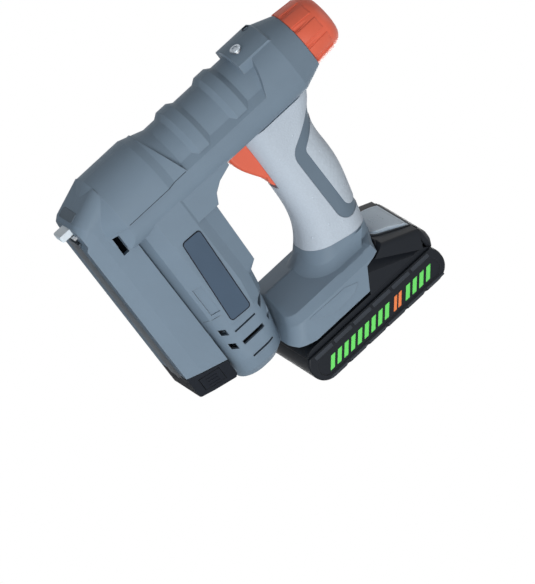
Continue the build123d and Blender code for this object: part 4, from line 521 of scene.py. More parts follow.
def pick(piece, kind, test):
    """Select the corners, edges or faces whose middle passes a test."""
    bpy.ops.mesh.select_mode(type=kind)
    bpy.ops.mesh.select_all(action="DESELECT")
    mesh = bmesh.from_edit_mesh(piece.data)
    for item in {"VERT": mesh.verts, "EDGE": mesh.edges, "FACE": mesh.faces}[kind]:
        corners = [item] if kind == "VERT" else item.verts
        middle = sum((corner.co for corner in corners), Vector()) / len(corners)
        item.select_set(bool(test(middle)))
    mesh.select_flush_mode()
    bmesh.update_edit_mesh(piece.data)


def repeat(piece, count, step):
    """Copy the piece along a step with an Array modifier."""
    bpy.ops.object.mode_set(mode="OBJECT")
    row = piece.modifiers.new("row", "ARRAY")
    row.count = count
    row.use_relative_offset = False
    row.use_constant_offset = True
    row.constant_offset_displace = step
    bpy.ops.object.modifier_apply(modifier="row")


def end_piece(piece, finish, body):
    """Leave edit mode, smooth the round parts, and hand the piece to a body."""
    bpy.ops.object.mode_set(mode="OBJECT")
    bpy.ops.object.shade_smooth_by_angle(angle=math.radians(30))
    if not piece.data.materials:
        piece.data.materials.append(finish)
    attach(piece, body)
    print(piece.name, "has", len(piece.data.polygons), "faces")


print("modelling helpers ready")

# %% [markdown]
# A dark blue plate lies on the flat side of the motor column. Colour alone could show it, but a real
# plate has an edge that catches light. It is a thin block whose corners are moved to the plate's
# slanted outline, so that it runs with the crease under it. The corners are bevelled round, and an inset
# round the face makes the narrow border that it is set in, which is near-black as a painted shade of the
# gap round the plate. At last its back end is moved in a little, because the column gets narrower there.

# %% Label plate
def printed(name, colour, roughness, shine=0.5):
    """A coat that is smoother than the plastic, with neither wear nor painted highlight at its edges."""
    return moulded(name, colour, roughness, grain=0.0004, depth=0.00001, edge_wear_and_highlight=0.0, shine=shine)


def sink_face(border, wall, depth):
    """Leave a border round the picked faces, and push what lies inside it down a steep wall."""
    bpy.ops.mesh.inset(thickness=border, depth=0.0)
    bpy.ops.mesh.inset(thickness=wall, depth=-depth)


label_blue = printed("label_blue", (0.054, 0.087, 0.133), roughness=0.45, shine=0.25)
# Near-black painted shade for gaps and holes.
painted_gap_shade = printed("painted_gap_shade", (0.010, 0.013, 0.020), roughness=0.5, shine=0.2)
plate_low = Vector((0.0498, -0.0268, 0.0510))
plate_high = Vector((0.1162, -0.0250, 0.0709))
plate_middle = (plate_low + plate_high) / 2
plate = start_block("label_plate", plate_low, plate_high)
pick(plate, "VERT", lambda at: at.x < plate_middle.x and at.z < plate_middle.z)
bpy.ops.transform.translate(value=(-0.0006, 0, 0.0049))
pick(plate, "VERT", lambda at: at.x > plate_middle.x and at.z > plate_middle.z)
bpy.ops.transform.translate(value=(0.0010, 0, -0.0034))
pick(plate, "EDGE", lambda at: same(at.y, plate_middle.y))
bpy.ops.mesh.bevel(offset=0.0027, segments=8, affect="EDGES")
pick(plate, "FACE", lambda at: same(at.y, plate_low.y))
sink_face(border=0.0005, wall=0.0001, depth=0.0002)
pick(plate, "VERT", lambda at: at.x > plate_middle.x)
bpy.ops.transform.translate(value=(0, 0.0005, 0))
# The border gets the near-black painted shade of the gap, and the face gets the label's blue.
end_piece(plate, painted_gap_shade, "housing")
plate.data.materials.append(label_blue)
front_faces = [polygon for polygon in plate.data.polygons if polygon.normal.y < -0.9]
max(front_faces, key=lambda polygon: polygon.area).material_index = 1

# %% [markdown]
# The battery's near side carries a row of printed bars. Real prints lie flat, but two faces in one
# place flicker in the picture, and a strip with a real thickness never does. A bar is a block with one
# end pushed along, which slants it, and with its edges bevelled a little. An Array repeats it.

# %% Battery bars
print_green = printed("print_green", (0.14, 0.72, 0.13), roughness=0.45)
print_orange = printed("print_orange", (0.85, 0.22, 0.06), roughness=0.45)
panel_depth = 0.0008
panel_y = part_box("battery_case")[0].y + panel_depth
bar_thickness = 0.0004
bar_foot = 0.1866
bar_head = 0.1786
bar_lean = 0.0062


def bar_row(name, first, count, pitch, width, finish):
    outer_corner = (bar_head, panel_y - bar_thickness / 2, first)
    inner_corner = (bar_foot, panel_y + bar_thickness / 2, first + width)
    bar = start_block(name, outer_corner, inner_corner)
    pick(bar, "VERT", lambda at: at.x < (bar_head + bar_foot) / 2)
    bpy.ops.transform.translate(value=(0, 0, bar_lean))
    pick(bar, "EDGE", lambda at: same(at.y, panel_y))
    bpy.ops.mesh.bevel(offset=0.0003, segments=2, affect="EDGES")
    repeat(bar, count, (0, 0, pitch))
    end_piece(bar, finish, "battery")


bar_row("green_bars_low", first=0.0805, count=9, pitch=0.0060, width=0.0036, finish=print_green)
bar_row("orange_bars", first=0.1365, count=2, pitch=0.0040, width=0.0026, finish=print_orange)
bar_row("green_bars_high", first=0.1470, count=4, pitch=0.0060, width=0.0036, finish=print_green)

# %% [markdown]
# Along both edges of the battery's side run strips of raised pads, which stiffen the case. They could
# be cut out of one long strip, but an Array of one pad is less work. A pad is a block with its upright
# edges bevelled and its face inset and raised. The far side is the same moulding, so the rows are made
# there too.

# %% Battery pads
rim_black = moulded(
    "black_pads", (0.030, 0.036, 0.046), roughness=0.5, grain=0.0006, depth=0.00004, edge_wear_and_highlight=0.12, shine=0.2)
sides = ((-1, "near"), (1, "far"))
case_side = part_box("battery_case")[1].y
pad_proud = 0.0004
pad_length = 0.0150
pad_pitch = 0.0170
pads_in_row = 6
pad_rows = (("upper", 0.1707, 0.1736, 0.0769), ("lower", 0.1894, 0.1909, 0.0778))
for side, side_name in sides:
    wall = side * case_side
    proud = wall + side * pad_proud
    sunk = wall - side * pad_proud
    for row_name, inner_x, outer_x, first in pad_rows:
        pad = start_block("%s_%s_pads" % (side_name, row_name), (inner_x, sunk, first),
                          (outer_x, proud, first + pad_length))
        pick(pad, "EDGE", lambda at: same(at.y, wall))
        bpy.ops.mesh.bevel(offset=0.0005, segments=2, affect="EDGES")
        pick(pad, "FACE", lambda at: same(at.y, proud))
        bpy.ops.mesh.inset(thickness=0.0003, depth=0.0002)
        repeat(pad, pads_in_row, (0, 0, pad_pitch))
        end_piece(pad, rim_black, "battery")

# %% [markdown]
# The end of the battery's head is domed where the button slopes down to the cells. A sphere could be
# squashed to it, but its foot has to be a flat, long oblong. So a flat block is the start: its end at
# the button is a little narrower, its upper face is extruded and drawn in, and all the edges there are
# bevelled round.

# %% Head end
head_middle = Vector((0.1648, 0, 0.1818))
head_half = Vector((0.0078, 0.0330, 0.0015))
block_top = head_middle.z + head_half.z
head_end = start_block("head_end", head_middle - head_half, head_middle + head_half)
pick(head_end, "VERT", lambda at: at.x < head_middle.x)
bpy.ops.transform.resize(value=(1, 0.98, 1), center_override=head_middle)
pick(head_end, "FACE", lambda at: same(at.z, block_top))
bpy.ops.mesh.extrude_region_move(TRANSFORM_OT_translate={"value": (0.0008, 0, 0.0030)})
bpy.ops.transform.resize(value=(0.42, 0.92, 1), center_override=head_middle)
pick(head_end, "EDGE", lambda at: at.z > block_top + hair)
bpy.ops.mesh.bevel(offset=0.0022, segments=5, affect="EDGES")
end_piece(head_end, black, "battery")

# %% [markdown]
# The side panels of the battery shoe have a raised leaf-shaped line. A curve with a round section could
# follow it, but this line is flat on top. A six-cornered disc is the start: its corners are moved to
# the leaf's places, the face is extruded out of the panel, and the middle is inset and pushed back, so
# that only the line stands proud.

# %% Leaf on the shoe
leaf_corners = ((0.1480, 0.0900), (0.1486, 0.1205), (0.1522, 0.1300), (0.1568, 0.1240), (0.1580, 0.1080),
                (0.1530, 0.0955))
shoe_side = 0.036
line_sunk = 0.0003
line_proud = 0.0004


def face_outward():
    """Turn all faces of the open piece outward."""
    bpy.ops.mesh.select_all(action="SELECT")
    bpy.ops.mesh.normals_make_consistent(inside=False)


for side, side_name in sides:
    bpy.ops.object.select_all(action="DESELECT")
    bpy.ops.mesh.primitive_circle_add(vertices=len(leaf_corners), radius=0.01, fill_type="NGON")
    for corner, (x, z) in zip(bpy.context.object.data.vertices, leaf_corners):
        corner.co = (x, side * (shoe_side - line_sunk), z)
    leaf = start_editing(side_name + "_leaf")
    bpy.ops.mesh.select_all(action="SELECT")
    bpy.ops.mesh.extrude_region_move(
        TRANSFORM_OT_translate={"value": (0, side * (line_sunk + line_proud), 0)})
    bpy.ops.mesh.inset(thickness=0.0009, depth=0.0)
    bpy.ops.transform.translate(value=(0, -side * 0.0003, 0))
    face_outward()
    pick(leaf, "EDGE", lambda at: same(abs(at.y), shoe_side + line_proud))
    bpy.ops.mesh.bevel(offset=0.0001, segments=2, affect="EDGES")
    end_piece(leaf, slate, "housing")

# %% [markdown]
# Under the grip the handle runs out into the shoe in one hollow curve. To lay a piece round the handle,
# one has to know where its skin is. Reading that from the CAD mesh would take long, but the handle is
# simple enough for a rule: its width grows and its underside falls evenly towards the shoe, and its
# lower corners are round.

# %% Round the handle
section_x = 0.126
section_half = 0.0210
section_low = 0.1185
widening = 0.20
falling = 0.767
corner_share = 0.86


def handle_half(x):
    return section_half + widening * (x - section_x)


def handle_low(x):
    return section_low - falling * (x - section_x)


def round_handle(x, path):
    """Place and outward direction on the handle, at a path along it from the middle of its underside."""
    half, low = handle_half(x), handle_low(x)
    corner = corner_share * half
    flat = half - corner
    angle = min(max((path - flat) / corner, 0), math.pi / 2)
    above = max(path - flat - corner * math.pi / 2, 0)
    across = min(path, flat) + corner * math.sin(angle)
    place = Vector((x, across, low + corner * (1 - math.cos(angle)) + above))
    return place, Vector((0, math.sin(angle), -math.cos(angle)))


print("handle is", round(2000 * handle_half(section_x)), "mm thick at the grip's end")

# %% [markdown]
# The collar is a grid that is laid round the handle. A fillet between the two forms would be the CAD
# way, and bridging two loops would give straight rows. Here the grid's columns go round both sides and
# the underside, and its rows follow a quarter circle, from the handle out to the shoe. Its rims are
# sunk a little into the housing.

# %% Collar
collar_x = 0.134
collar_reach = 0.0080
collar_top = 0.1555
collar_drop = 0.0040
handle_rim_sunk = 0.0003
shoe_rim_sunk = 0.0004
prow_front = 0.133
prow_sweep = 0.008
prow_half = 0.0315


def prow_x(across):
    return prow_front + prow_sweep * min(across / prow_half, 1)


def collar_corner(round_share, out_share):
    """Place on the collar, by its share of the way round the handle and of the way out to the shoe."""
    corner = corner_share * handle_half(collar_x)
    flat = handle_half(collar_x) - corner
    top = collar_top - collar_drop * out_share
    length = flat + corner * math.pi / 2 + top - handle_low(collar_x) - corner
    path = abs(round_share) * length
    place, outward = round_handle(collar_x, path)
    wall = prow_x((place + outward * collar_reach).y)
    angle = out_share * math.pi / 2
    x = wall + shoe_rim_sunk * out_share - collar_reach * (1 - math.sin(angle))
    place, outward = round_handle(x, path)
    lift = collar_reach * (1 - math.cos(angle)) - handle_rim_sunk * (1 - out_share)
    corner_place = place + outward * lift
    if round_share < 0:
        corner_place.y = -corner_place.y
    return corner_place


bpy.ops.object.select_all(action="DESELECT")
bpy.ops.mesh.primitive_grid_add(x_subdivisions=64, y_subdivisions=10, size=2)
collar = start_editing("collar")
grid = bmesh.from_edit_mesh(collar.data)
for corner in grid.verts:
    corner.co = collar_corner(corner.co.x, (corner.co.y + 1) / 2)
bmesh.update_edit_mesh(collar.data)
face_outward()
end_piece(collar, slate, "housing")

# %% [markdown]
# Each latch of the magazine has three ribs for the thumb. A bump would show them from the front, but
# not on the outline. A rib is a block that leans with the latch, with its outer edges bevelled round,
# and it rides on its own latch.

# %% Latch ribs
latches = ((-1, "left_latch"), (1, "right_latch"))
latch_low, latch_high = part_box("left_latch")
latch_lean = 0.0031
rib_gap = 0.0035
rib_low = latch_low.z + rib_gap
rib_high = latch_high.z - rib_gap
rib_lean = latch_lean * (rib_high - rib_low) / (latch_high.z - latch_low.z)
rib_front = 0.1379
rib_back = 0.1391
rib_pitch = 0.0024
rib_sunk = 0.0004
rib_proud = 0.0005
for side, latch in latches:
    wall = side * abs(latch_low.y)
    proud = wall + side * rib_proud
    sunk = wall - side * rib_sunk
    rib = start_block(latch + "_ribs", (rib_front, sunk, rib_low), (rib_back, proud, rib_high))
    pick(rib, "VERT", lambda at: at.z > (rib_low + rib_high) / 2)
    bpy.ops.transform.translate(value=(rib_lean, 0, 0))
    pick(rib, "FACE", lambda at: same(at.y, proud))
    bpy.ops.mesh.bevel(offset=0.0003, segments=2, affect="EDGES")
    repeat(rib, 3, (rib_pitch, 0, 0))
    end_piece(rib, latch_black, latch)

# %% [markdown]
# The release button lies on a slope of the battery's head. One could model it flat and turn it at the
# end, but then it can't be measured against its neighbours. So its blocks are added turned, and places
# on them are measured from the button's middle: inward, across and up the slope. The rim and the lip are
# both trays that get wider up the slope. Bisecting a tray across gives the rows that its arch needs.

# %% Button slope
slope_low = Vector((0.1446, 0, 0.1575))
slope_high = Vector((0.1556, 0, 0.1830))
slope = (slope_high - slope_low).normalized()
slope_out = Vector((-slope.z, 0, slope.x))
slope_turn = math.atan2(slope.x, slope.z)
button_up = 0.0136
button_proud = 0.0008
button_middle = slope_low + slope * button_up + slope_out * button_proud
tray_flare = 0.0045
tray_rows = 10


def on_slope(at):
    """A place measured from the button's middle: inward, across and up the slope."""
    return Matrix.Rotation(-slope_turn, 3, "Y") @ (at - button_middle)


def start_tray(name, outer, inner, half_width, half_length, low_corner, high_corner):
    """A block on the slope that gets wider up the slope, with its corners rounded, cut into rows."""
    middle = button_middle + slope_out * (outer - inner) / 2
    half = Vector(((outer + inner) / 2, half_width, half_length))
    tray = start_block(name, middle - half, middle + half, (0, slope_turn, 0))
    for side in (-1, 1):
        pick(tray, "VERT", lambda at: on_slope(at).z > 0 and at.y * side > 0)
        bpy.ops.transform.translate(value=(0, side * tray_flare, 0))
    for end, corner in ((-1, low_corner), (1, high_corner)):
        pick(tray, "EDGE", lambda at: abs(at.y) > half_width - hair
             and on_slope(at).z * end > half_length - hair)
        bpy.ops.mesh.bevel(offset=corner, segments=6, affect="EDGES")
    for row in range(1, tray_rows):
        bpy.ops.mesh.select_all(action="SELECT")
        bpy.ops.mesh.bisect(
            plane_co=button_middle + slope * half_length * (2 * row / tray_rows - 1), plane_no=slope)
    return tray


print("button's slope leans", round(math.degrees(slope_turn)), "degrees")

# %% [markdown]
# The button itself is a shallow tray with a rim, arched along its slope. Subdivision could round it, but
# it would lose its crisp rim. So its face is inset and sunk, and moving the middle row with proportional
# editing bends all the rows. The rim is a lighter grey than the sunk face, a painted highlight.

# %% Button rim
# A lighter grey than the button: a painted highlight on the rim and the dots.
rim_grey_highlight = moulded("button_rim", (0.61, 0.71, 0.80), roughness=0.42, grain=0.0006, depth=0.00003)
rim_proud = 0.0004
rim_depth = 0.0020
middle_row = 0.0013
arch = 0.0016
arch_reach = 0.0125


def bow(move, reach):
    """Move the picked corners, and those within reach by a smaller share."""
    bpy.ops.transform.translate(
        value=move, use_proportional_edit=True, proportional_edit_falloff="INVERSE_SQUARE",
        proportional_size=reach)


rim = start_tray("button_rim", outer=rim_proud, inner=rim_depth, half_width=0.0163, half_length=0.0110,
                 low_corner=0.0056, high_corner=0.0015)
pick(rim, "FACE", lambda at: same(on_slope(at).x, -rim_proud))
sink_face(border=0.0010, wall=0.0004, depth=0.0003)
rim.data.materials.append(rim_grey_highlight)
rim.data.materials.append(button_grey)
rim.active_material_index = 1
bpy.ops.object.material_slot_assign()
pick(rim, "VERT", lambda at: abs(on_slope(at).z) < middle_row and on_slope(at).x < rim_depth / 2)
bow(slope_out * arch, arch_reach)
end_piece(rim, rim_grey_highlight, "button")

# %% [markdown]
# A black lip runs round the button. A Boolean could cut its opening, but it leaves untidy faces. It is
# the same kind of tray, a little larger, and its outer and inner faces are inset and then bridged, which
# opens it right through, so that the button can sink in.

# %% Button lip
lip_sunk = 0.0002
lip_depth = 0.0030
lip = start_tray("button_lip", outer=-lip_sunk, inner=lip_depth, half_width=0.0194, half_length=0.0136,
                 low_corner=0.0060, high_corner=0.0020)
pick(lip, "FACE", lambda at: same(on_slope(at).x, lip_sunk) or same(on_slope(at).x, lip_depth))
bpy.ops.mesh.inset(thickness=0.0016, depth=0.0)
bpy.ops.mesh.bridge_edge_loops()
end_piece(lip, rim_black, "battery")

# %% [markdown]
# On both sides of the button the slope runs on as a flat black shoulder, level with the head. A wider
# head would have both in one, but the CAD meshes stay as they are. Each is a block on the slope: its
# lower end follows the front of the head, its outer wall leans out where it falls to the cells, and its
# long edge is bevelled round.

# %% Button shoulders
shoulder_half = Vector((0.00665, 0.0053, 0.0132))
shoulder_y = 0.0295
shoulder_sunk = 0.0007
for side, side_name in sides:
    across = Vector((0, side * shoulder_y, 0))
    shoulder_middle = button_middle - slope_out * (shoulder_half.x + shoulder_sunk) + across
    shoulder = start_block(side_name + "_shoulder", shoulder_middle - shoulder_half,
                           shoulder_middle + shoulder_half, (0, slope_turn, 0))
    pick(shoulder, "VERT", lambda at: on_slope(at).z < 0 and on_slope(at).x > shoulder_half.x)
    bpy.ops.transform.translate(value=(-0.0084, 0, -0.0051))
    pick(shoulder, "VERT", lambda at: abs(at.y) > shoulder_y and on_slope(at).x > shoulder_half.x)
    bpy.ops.transform.translate(value=(0, side * 0.0012, 0))
    pick(shoulder, "EDGE", lambda at: same(on_slope(at).x, shoulder_sunk)
         and same(abs(at.y), shoulder_y + shoulder_half.y))
    bpy.ops.mesh.bevel(offset=0.0030, segments=6, affect="EDGES")
    end_piece(shoulder, black, "battery")

# %% [markdown]
# A patch of dots in the middle of the button keeps the thumb from slipping. It is two grids, one set
# into the gaps of the other. Each dot is a small disc with a bevelled top, because a ball would need
# many more faces, and two Arrays spread it across and up the slope.

# %% Button dots
dot_pitch = 0.0036
dot_height = 0.0008
dot_sunk = 0.0002


def dot_grid(name, count):
    start = -(count - 1) / 2 * dot_pitch
    place = button_middle + slope_out * (arch - dot_sunk) + slope * start + Vector((0, start, 0))
    dot = start_disc(name, place, radius=0.0007, depth=dot_height, out=slope_out, corners=16)
    pick(dot, "FACE", lambda at: same((at - place).dot(slope_out), dot_height / 2))
    bpy.ops.mesh.bevel(offset=0.0003, segments=2, affect="EDGES")
    repeat(dot, count, (0, dot_pitch, 0))
    repeat(dot, count, slope * dot_pitch)
    # The dots have the rim's lighter grey, a painted highlight.
    end_piece(dot, rim_grey_highlight, "button")


dot_grid("button_dots", 3)
dot_grid("button_gap_dots", 2)

# %% [markdown]
# Flat pads round the knob give the fingers a hold. An Array with an empty as its offset could set them
# in a circle, but Spin does it in one step. One pad is a block that leans in with the knob's side, its
# outer edges bevelled, and Spin repeats it round the knob's axis, one pad between every two flutes.

# %% Knob pads
knob_low, knob_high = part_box("power_knob")
knob_middle = (knob_low + knob_high) / 2
knob_pad_count = 10
knob_pad_half = Vector((0.0010, 0.0043, 0.0081))
knob_pad_reach = 0.0204
knob_pad_height = 0.0083
knob_pad_lean = 0.0014
knob_pad_angle = math.radians(30.6)
knob_pad_out = Vector((math.cos(knob_pad_angle), math.sin(knob_pad_angle), 0))
knob_pad_place = knob_middle + knob_pad_out * knob_pad_reach
knob_pad_place.z = knob_low.z + knob_pad_height
knob_pads = start_block("knob_pads", knob_pad_place - knob_pad_half, knob_pad_place + knob_pad_half,
                        (0, 0, knob_pad_angle))
pick(knob_pads, "VERT", lambda at: at.z > knob_pad_place.z)
bpy.ops.transform.translate(value=knob_pad_out * -knob_pad_lean)
pick(knob_pads, "FACE", lambda at: (at - knob_pad_place).dot(knob_pad_out) > hair)
bpy.ops.mesh.bevel(offset=0.0004, segments=2, affect="EDGES")
bpy.ops.mesh.select_all(action="SELECT")
bpy.ops.mesh.spin(
    steps=knob_pad_count - 1, dupli=True, angle=2 * math.pi * (knob_pad_count - 1) / knob_pad_count,
    center=knob_middle, axis=(0, 0, 1))
end_piece(knob_pads, orange, "knob")

# %% [markdown]
# The screws get real heads. A star could be cut out with a Boolean, but moving corners keeps the mesh
# clean. A head starts as a disc. Its face is inset, every fourth corner of the new ring is drawn in,
# which makes a six-lobed star, and the star is pushed into the head. The front screw sits on the barrel,
# and the others in deep seats on the right side.

# %% Screw heads
zinc = brushed("zinc", (0.44, 0.49, 0.54), roughness=0.46, stretch=(1, 1, 1))
head_height = 0.0012
head_round = 0.0005
head_proud = 0.0008
star_share = 0.6
star_waist = 0.7
star_pitch = 60
star_slack = 5


def screw_head(name, top, out, radius):
    """A head whose top stands at a place and faces outward."""
    facing = out.to_track_quat("Z", "Y")

    def between_lobes(at):
        spoke = facing.inverted() @ (at - top)
        angle = math.degrees(math.atan2(spoke.y, spoke.x)) % star_pitch
        return spoke.length < star_share * radius + hair and min(angle, star_pitch - angle) < star_slack

    head = start_disc(name, top - out * head_height / 2, radius, head_height, out, corners=24)
    pick(head, "FACE", lambda at: (at - top).length < hair)
    bpy.ops.mesh.bevel(offset=head_round, segments=3, affect="EDGES")
    pick(head, "FACE", lambda at: (at - top).length < hair)
    bpy.ops.mesh.inset(thickness=radius - head_round - star_share * radius, depth=0.0)
    pick(head, "VERT", between_lobes)
    bpy.ops.transform.resize(value=(star_waist, star_waist, star_waist), center_override=top)
    pick(head, "FACE", lambda at: (at - top).length < hair)
    bpy.ops.mesh.inset(thickness=0.0001, depth=-0.0005)
    end_piece(head, zinc, "housing")


front_low, front_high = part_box("front_screw")
front_middle = (front_low + front_high) / 2
front_top = Vector((front_low.x - head_proud, front_middle.y, front_middle.z))
screw_head("front_screw_head", front_top, Vector((-1, 0, 0)), radius=0.0039)
side_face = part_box("housing_screws")[1].y + head_proud
screw_places = (
    (-0.012, 0.066), (0.029, 0.172), (0.050, 0.0845), (0.088, 0.143), (0.119, 0.143), (0.154, 0.046))
for number, (x, z) in enumerate(screw_places, 1):
    side_top = Vector((x, side_face, z))
    screw_head("side_screw_head_%d" % number, side_top, Vector((0, 1, 0)), radius=0.0030)

# %% [markdown]
# The foot of the chin has a darker pad, a darker copy of the housing's colour. A patch of colour would
# look painted on.
# It is a block laid on the chin's slope, its corners and its outer edges bevelled, and a shallow inset
# runs round its face.

# %% Chin pad
pad_grey = moulded(
    "pad_grey", (0.118, 0.155, 0.192), roughness=0.62, grain=0.0005, depth=0.00004, edge_wear_and_highlight=0.15, shine=0.3)
chin_low = Vector((-0.0065, 0, 0.0106))
chin_high = Vector((-0.0166, 0, 0.0350))
chin_up = (chin_high - chin_low).normalized()
chin_turn = math.atan2(chin_up.x, chin_up.z)
chin_pad_up = 0.0038
chin_pad_half = Vector((0.0005, 0.0092, 0.0036))
chin_pad_middle = chin_low + chin_up * chin_pad_up


def on_chin(at):
    """A place measured from the pad's middle: inward, across and up the chin."""
    return Matrix.Rotation(-chin_turn, 3, "Y") @ (at - chin_pad_middle)


chin_pad = start_block("chin_pad", chin_pad_middle - chin_pad_half, chin_pad_middle + chin_pad_half,
                       (0, chin_turn, 0))
pick(chin_pad, "EDGE", lambda at: same(on_chin(at).x, 0))
bpy.ops.mesh.bevel(offset=0.0016, segments=5, affect="EDGES")
pick(chin_pad, "FACE", lambda at: same(on_chin(at).x, -chin_pad_half.x))
bpy.ops.mesh.bevel(offset=0.0003, segments=2, affect="EDGES")
pick(chin_pad, "FACE", lambda at: same(on_chin(at).x, -chin_pad_half.x))
bpy.ops.mesh.inset(thickness=0.0005, depth=-0.0001)
end_piece(chin_pad, pad_grey, "housing")

# %% [markdown]
# A dark joint runs up each side of the barrel, from the foot to the waist. A groove in the housing would
# be the real thing, but the housing's mesh stays as it is, so the joint is a thin dark strip. It is a
# block on the foot, and its upper end is extruded twice, first in along the foot's slope and then up the
# barrel. The faces on the foot are inset and drawn in by a trace, which makes the line finer there.

# %% Side joints
line_grey = moulded(
    "line_grey", (0.050, 0.066, 0.085), roughness=0.6, grain=0.0005, depth=0.00002, edge_wear_and_highlight=0.0, shine=0.2)
joint_front = 0.0117
joint_back = 0.0122
joint_inner = 0.0285
joint_outer = 0.02926
joint_low = 0.0365
foot_flat_top = 0.0710
for side, side_name in sides:
    joint_line = start_block(side_name + "_side_joint", (joint_front, side * joint_inner, joint_low),
                             (joint_back, side * joint_outer, foot_flat_top))
    pick(joint_line, "FACE", lambda at: same(at.z, foot_flat_top))
    bpy.ops.mesh.extrude_region_move(TRANSFORM_OT_translate={"value": (0, -side * 0.0020, 0.0058)})
    bpy.ops.mesh.extrude_region_move(TRANSFORM_OT_translate={"value": (0, 0, 0.0100)})
    pick(joint_line, "FACE", lambda at: foot_flat_top > at.z > joint_low + hair)
    bpy.ops.mesh.inset(thickness=0.00008, depth=-0.00003)
    end_piece(joint_line, line_grey, "housing")

# %% [markdown]
# Behind the slot in the magazine's side it lies in shade. The slot could be left open, but then its depth
# depends on what stands inside. A near-black plate closes it there, painted shade that is dark from every
# side. It is a block with its outer face inset and pushed back, which leaves a frame round the opening.

# %% Slot plates
# Near-black painted shade for the inside of the slot.
slot_painted_shade = printed("slot_painted_shade", (0.0016, 0.0020, 0.0026), roughness=0.85, shine=0.0)
slot_low = Vector((0.0140, 0.0160, 0.0224))
slot_high = Vector((0.0316, 0.0172, 0.0290))
for side, side_name in sides:
    mirror = Vector((1, side, 1))
    slot_plate = start_block(side_name + "_slot_plate", slot_low * mirror, slot_high * mirror)
    pick(slot_plate, "FACE", lambda at: same(abs(at.y), slot_high.y))
    sink_face(border=0.0008, wall=0.0001, depth=0.0006)
    end_piece(slot_plate, slot_painted_shade, "housing")

# %% [markdown]
# Over the front screw is a blind hole. A flat black dot would look printed from the side. So it is a ring
# that lies in the barrel's face: a near-black disc whose face is inset and pushed in, its colour painted
# shade for the dark inside of the hole.

# %% Front hole
hole_top = Vector((-0.0179, 0.0046, 0.1795))
hole_out = Vector((-1, 0, 0))
hole_depth = 0.0016
hole = start_disc("front_hole", hole_top - hole_out * hole_depth / 2, radius=0.0024, depth=hole_depth,
                  out=hole_out, corners=24)
pick(hole, "FACE", lambda at: same(at.x, hole_top.x))
sink_face(border=0.0003, wall=0.0002, depth=0.0012)
# Near-black painted shade inside the hole.
end_piece(hole, painted_gap_shade, "housing")

# %% [markdown]
# A spring gives way when its joint moves, and a CAD solid can't. So each coil is wound again here. A
# curve with a round section could follow a spiral, but a Screw modifier needs no list of points: it
# winds a ring of wire round an axis, and the two ends are then closed.

# %% Winding a coil
wire_corners = 10
steps_in_turn = 24


def wound_coil(name, foot, tilt, radius, wire, turns, climb):
    """Wire wound from a foot along z, or along x when it is tilted."""
    bpy.ops.object.select_all(action="DESELECT")
    bpy.ops.mesh.primitive_circle_add(
        vertices=wire_corners, radius=wire, location=(radius, 0, 0), rotation=(math.pi / 2, 0, 0))
    coil = start_editing(name)
    bpy.ops.object.mode_set(mode="OBJECT")
    winding = coil.modifiers.new("winding", "SCREW")
    winding.axis = "Z"
    winding.iterations = turns
    winding.screw_offset = climb / turns
    winding.steps = steps_in_turn
    bpy.ops.object.modifier_apply(modifier="winding")
    bpy.ops.object.mode_set(mode="EDIT")
    bpy.ops.mesh.select_all(action="SELECT")
    bpy.ops.mesh.fill_holes(sides=0)
    face_outward()
    bpy.ops.object.mode_set(mode="OBJECT")
    coil.rotation_euler = (0, tilt, 0)
    coil.location = foot
    bpy.ops.object.transform_apply()
    return coil


def give_way(spring, body, node):
    """Hand a spring to a body, hide the CAD solid that it replaces, and give the spring its own mesh."""
    end_piece(spring, oiled_steel, body)
    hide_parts(node)
    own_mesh(spring)


print("coils have", wire_corners * steps_in_turn, "faces in a turn")

# %% [markdown]
# Each coil gets its place and length from the box of the solid that it replaces. The nose and the
# trigger press their springs upward, and the pusher presses its spring back along the magazine. The
# main spring is pressed from both ends, which one squash can't do, so it is two coils that meet.

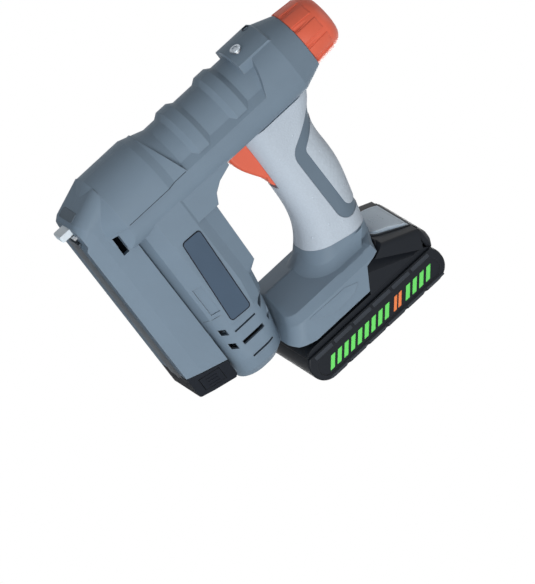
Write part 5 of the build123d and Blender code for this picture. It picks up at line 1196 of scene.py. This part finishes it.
# %% Coil springs
upward = Vector((0, 0, 1))
for spring_name, radius, wire, turns, joint, travel in (
        ("nose_spring", 0.00175, 0.00035, 6, "nose_press", 0.0055),
        ("trigger_spring", 0.0030, 0.0005, 4, "trigger_pull", 0.0025)):
    low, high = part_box(spring_name)
    free = high.z - low.z
    foot = Vector(((low.x + high.x) / 2, 0, low.z + wire))
    coil = wound_coil(spring_name + "_coil", foot, 0, radius, wire, turns, free - 2 * wire)
    give_way(coil, "housing", spring_name)

low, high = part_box("pusher_spring")
pusher_wire = 0.00045
pusher_free = high.x - low.x
foot = Vector((low.x + pusher_wire, 0, (low.z + high.z) / 2))
coil = wound_coil("pusher_spring_coil", foot, math.pi / 2, radius=0.0022, wire=pusher_wire, turns=12,
                  climb=pusher_free - 2 * pusher_wire)
give_way(coil, "drawer", "pusher_spring")

low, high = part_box("main_spring")
main_radius = 0.0105
main_wire = 0.0016
low_turns = 5
high_turns = 2
main_turn = (high.z - low.z - 2 * main_wire) / (low_turns + high_turns)
foot = Vector(((low.x + high.x) / 2, 0, low.z + main_wire))
meeting = foot + upward * low_turns * main_turn
coil = wound_coil(
    "main_spring_low_coil", foot, 0, main_radius, main_wire, low_turns, low_turns * main_turn)
give_way(coil, "housing", "main_spring")
coil = wound_coil(
    "main_spring_high_coil", meeting, 0, main_radius, main_wire, high_turns, high_turns * main_turn)
give_way(coil, "housing", "main_spring")

# %% [markdown]
# Behind each latch is a bowed leaf, which goes flat again when the latch is pressed. A curve could be
# bent to it, but here it is a thin strip, cut into rows along its length, and moving the middle row with
# proportional editing bows it.

# %% Leaf springs
leaf_thickness = 0.00035
leaf_cuts = 11
for side, latch in latches:
    low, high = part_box(latch + "_spring")
    pocket_floor, crown = sorted((low.y, high.y), key=abs)
    middle_z = (low.z + high.z) / 2
    strip = start_block(latch + "_leaf", (low.x, pocket_floor, low.z),
                        (high.x, pocket_floor + side * leaf_thickness, high.z))
    pick(strip, "EDGE", lambda at: same(at.z, middle_z))
    bpy.ops.mesh.subdivide(number_cuts=leaf_cuts)
    pick(strip, "VERT", lambda at: same(at.z, middle_z))
    bow((0, crown - pocket_floor - side * leaf_thickness, 0), (high.z - low.z) / 2)
    give_way(strip, "drawer", latch + "_spring")
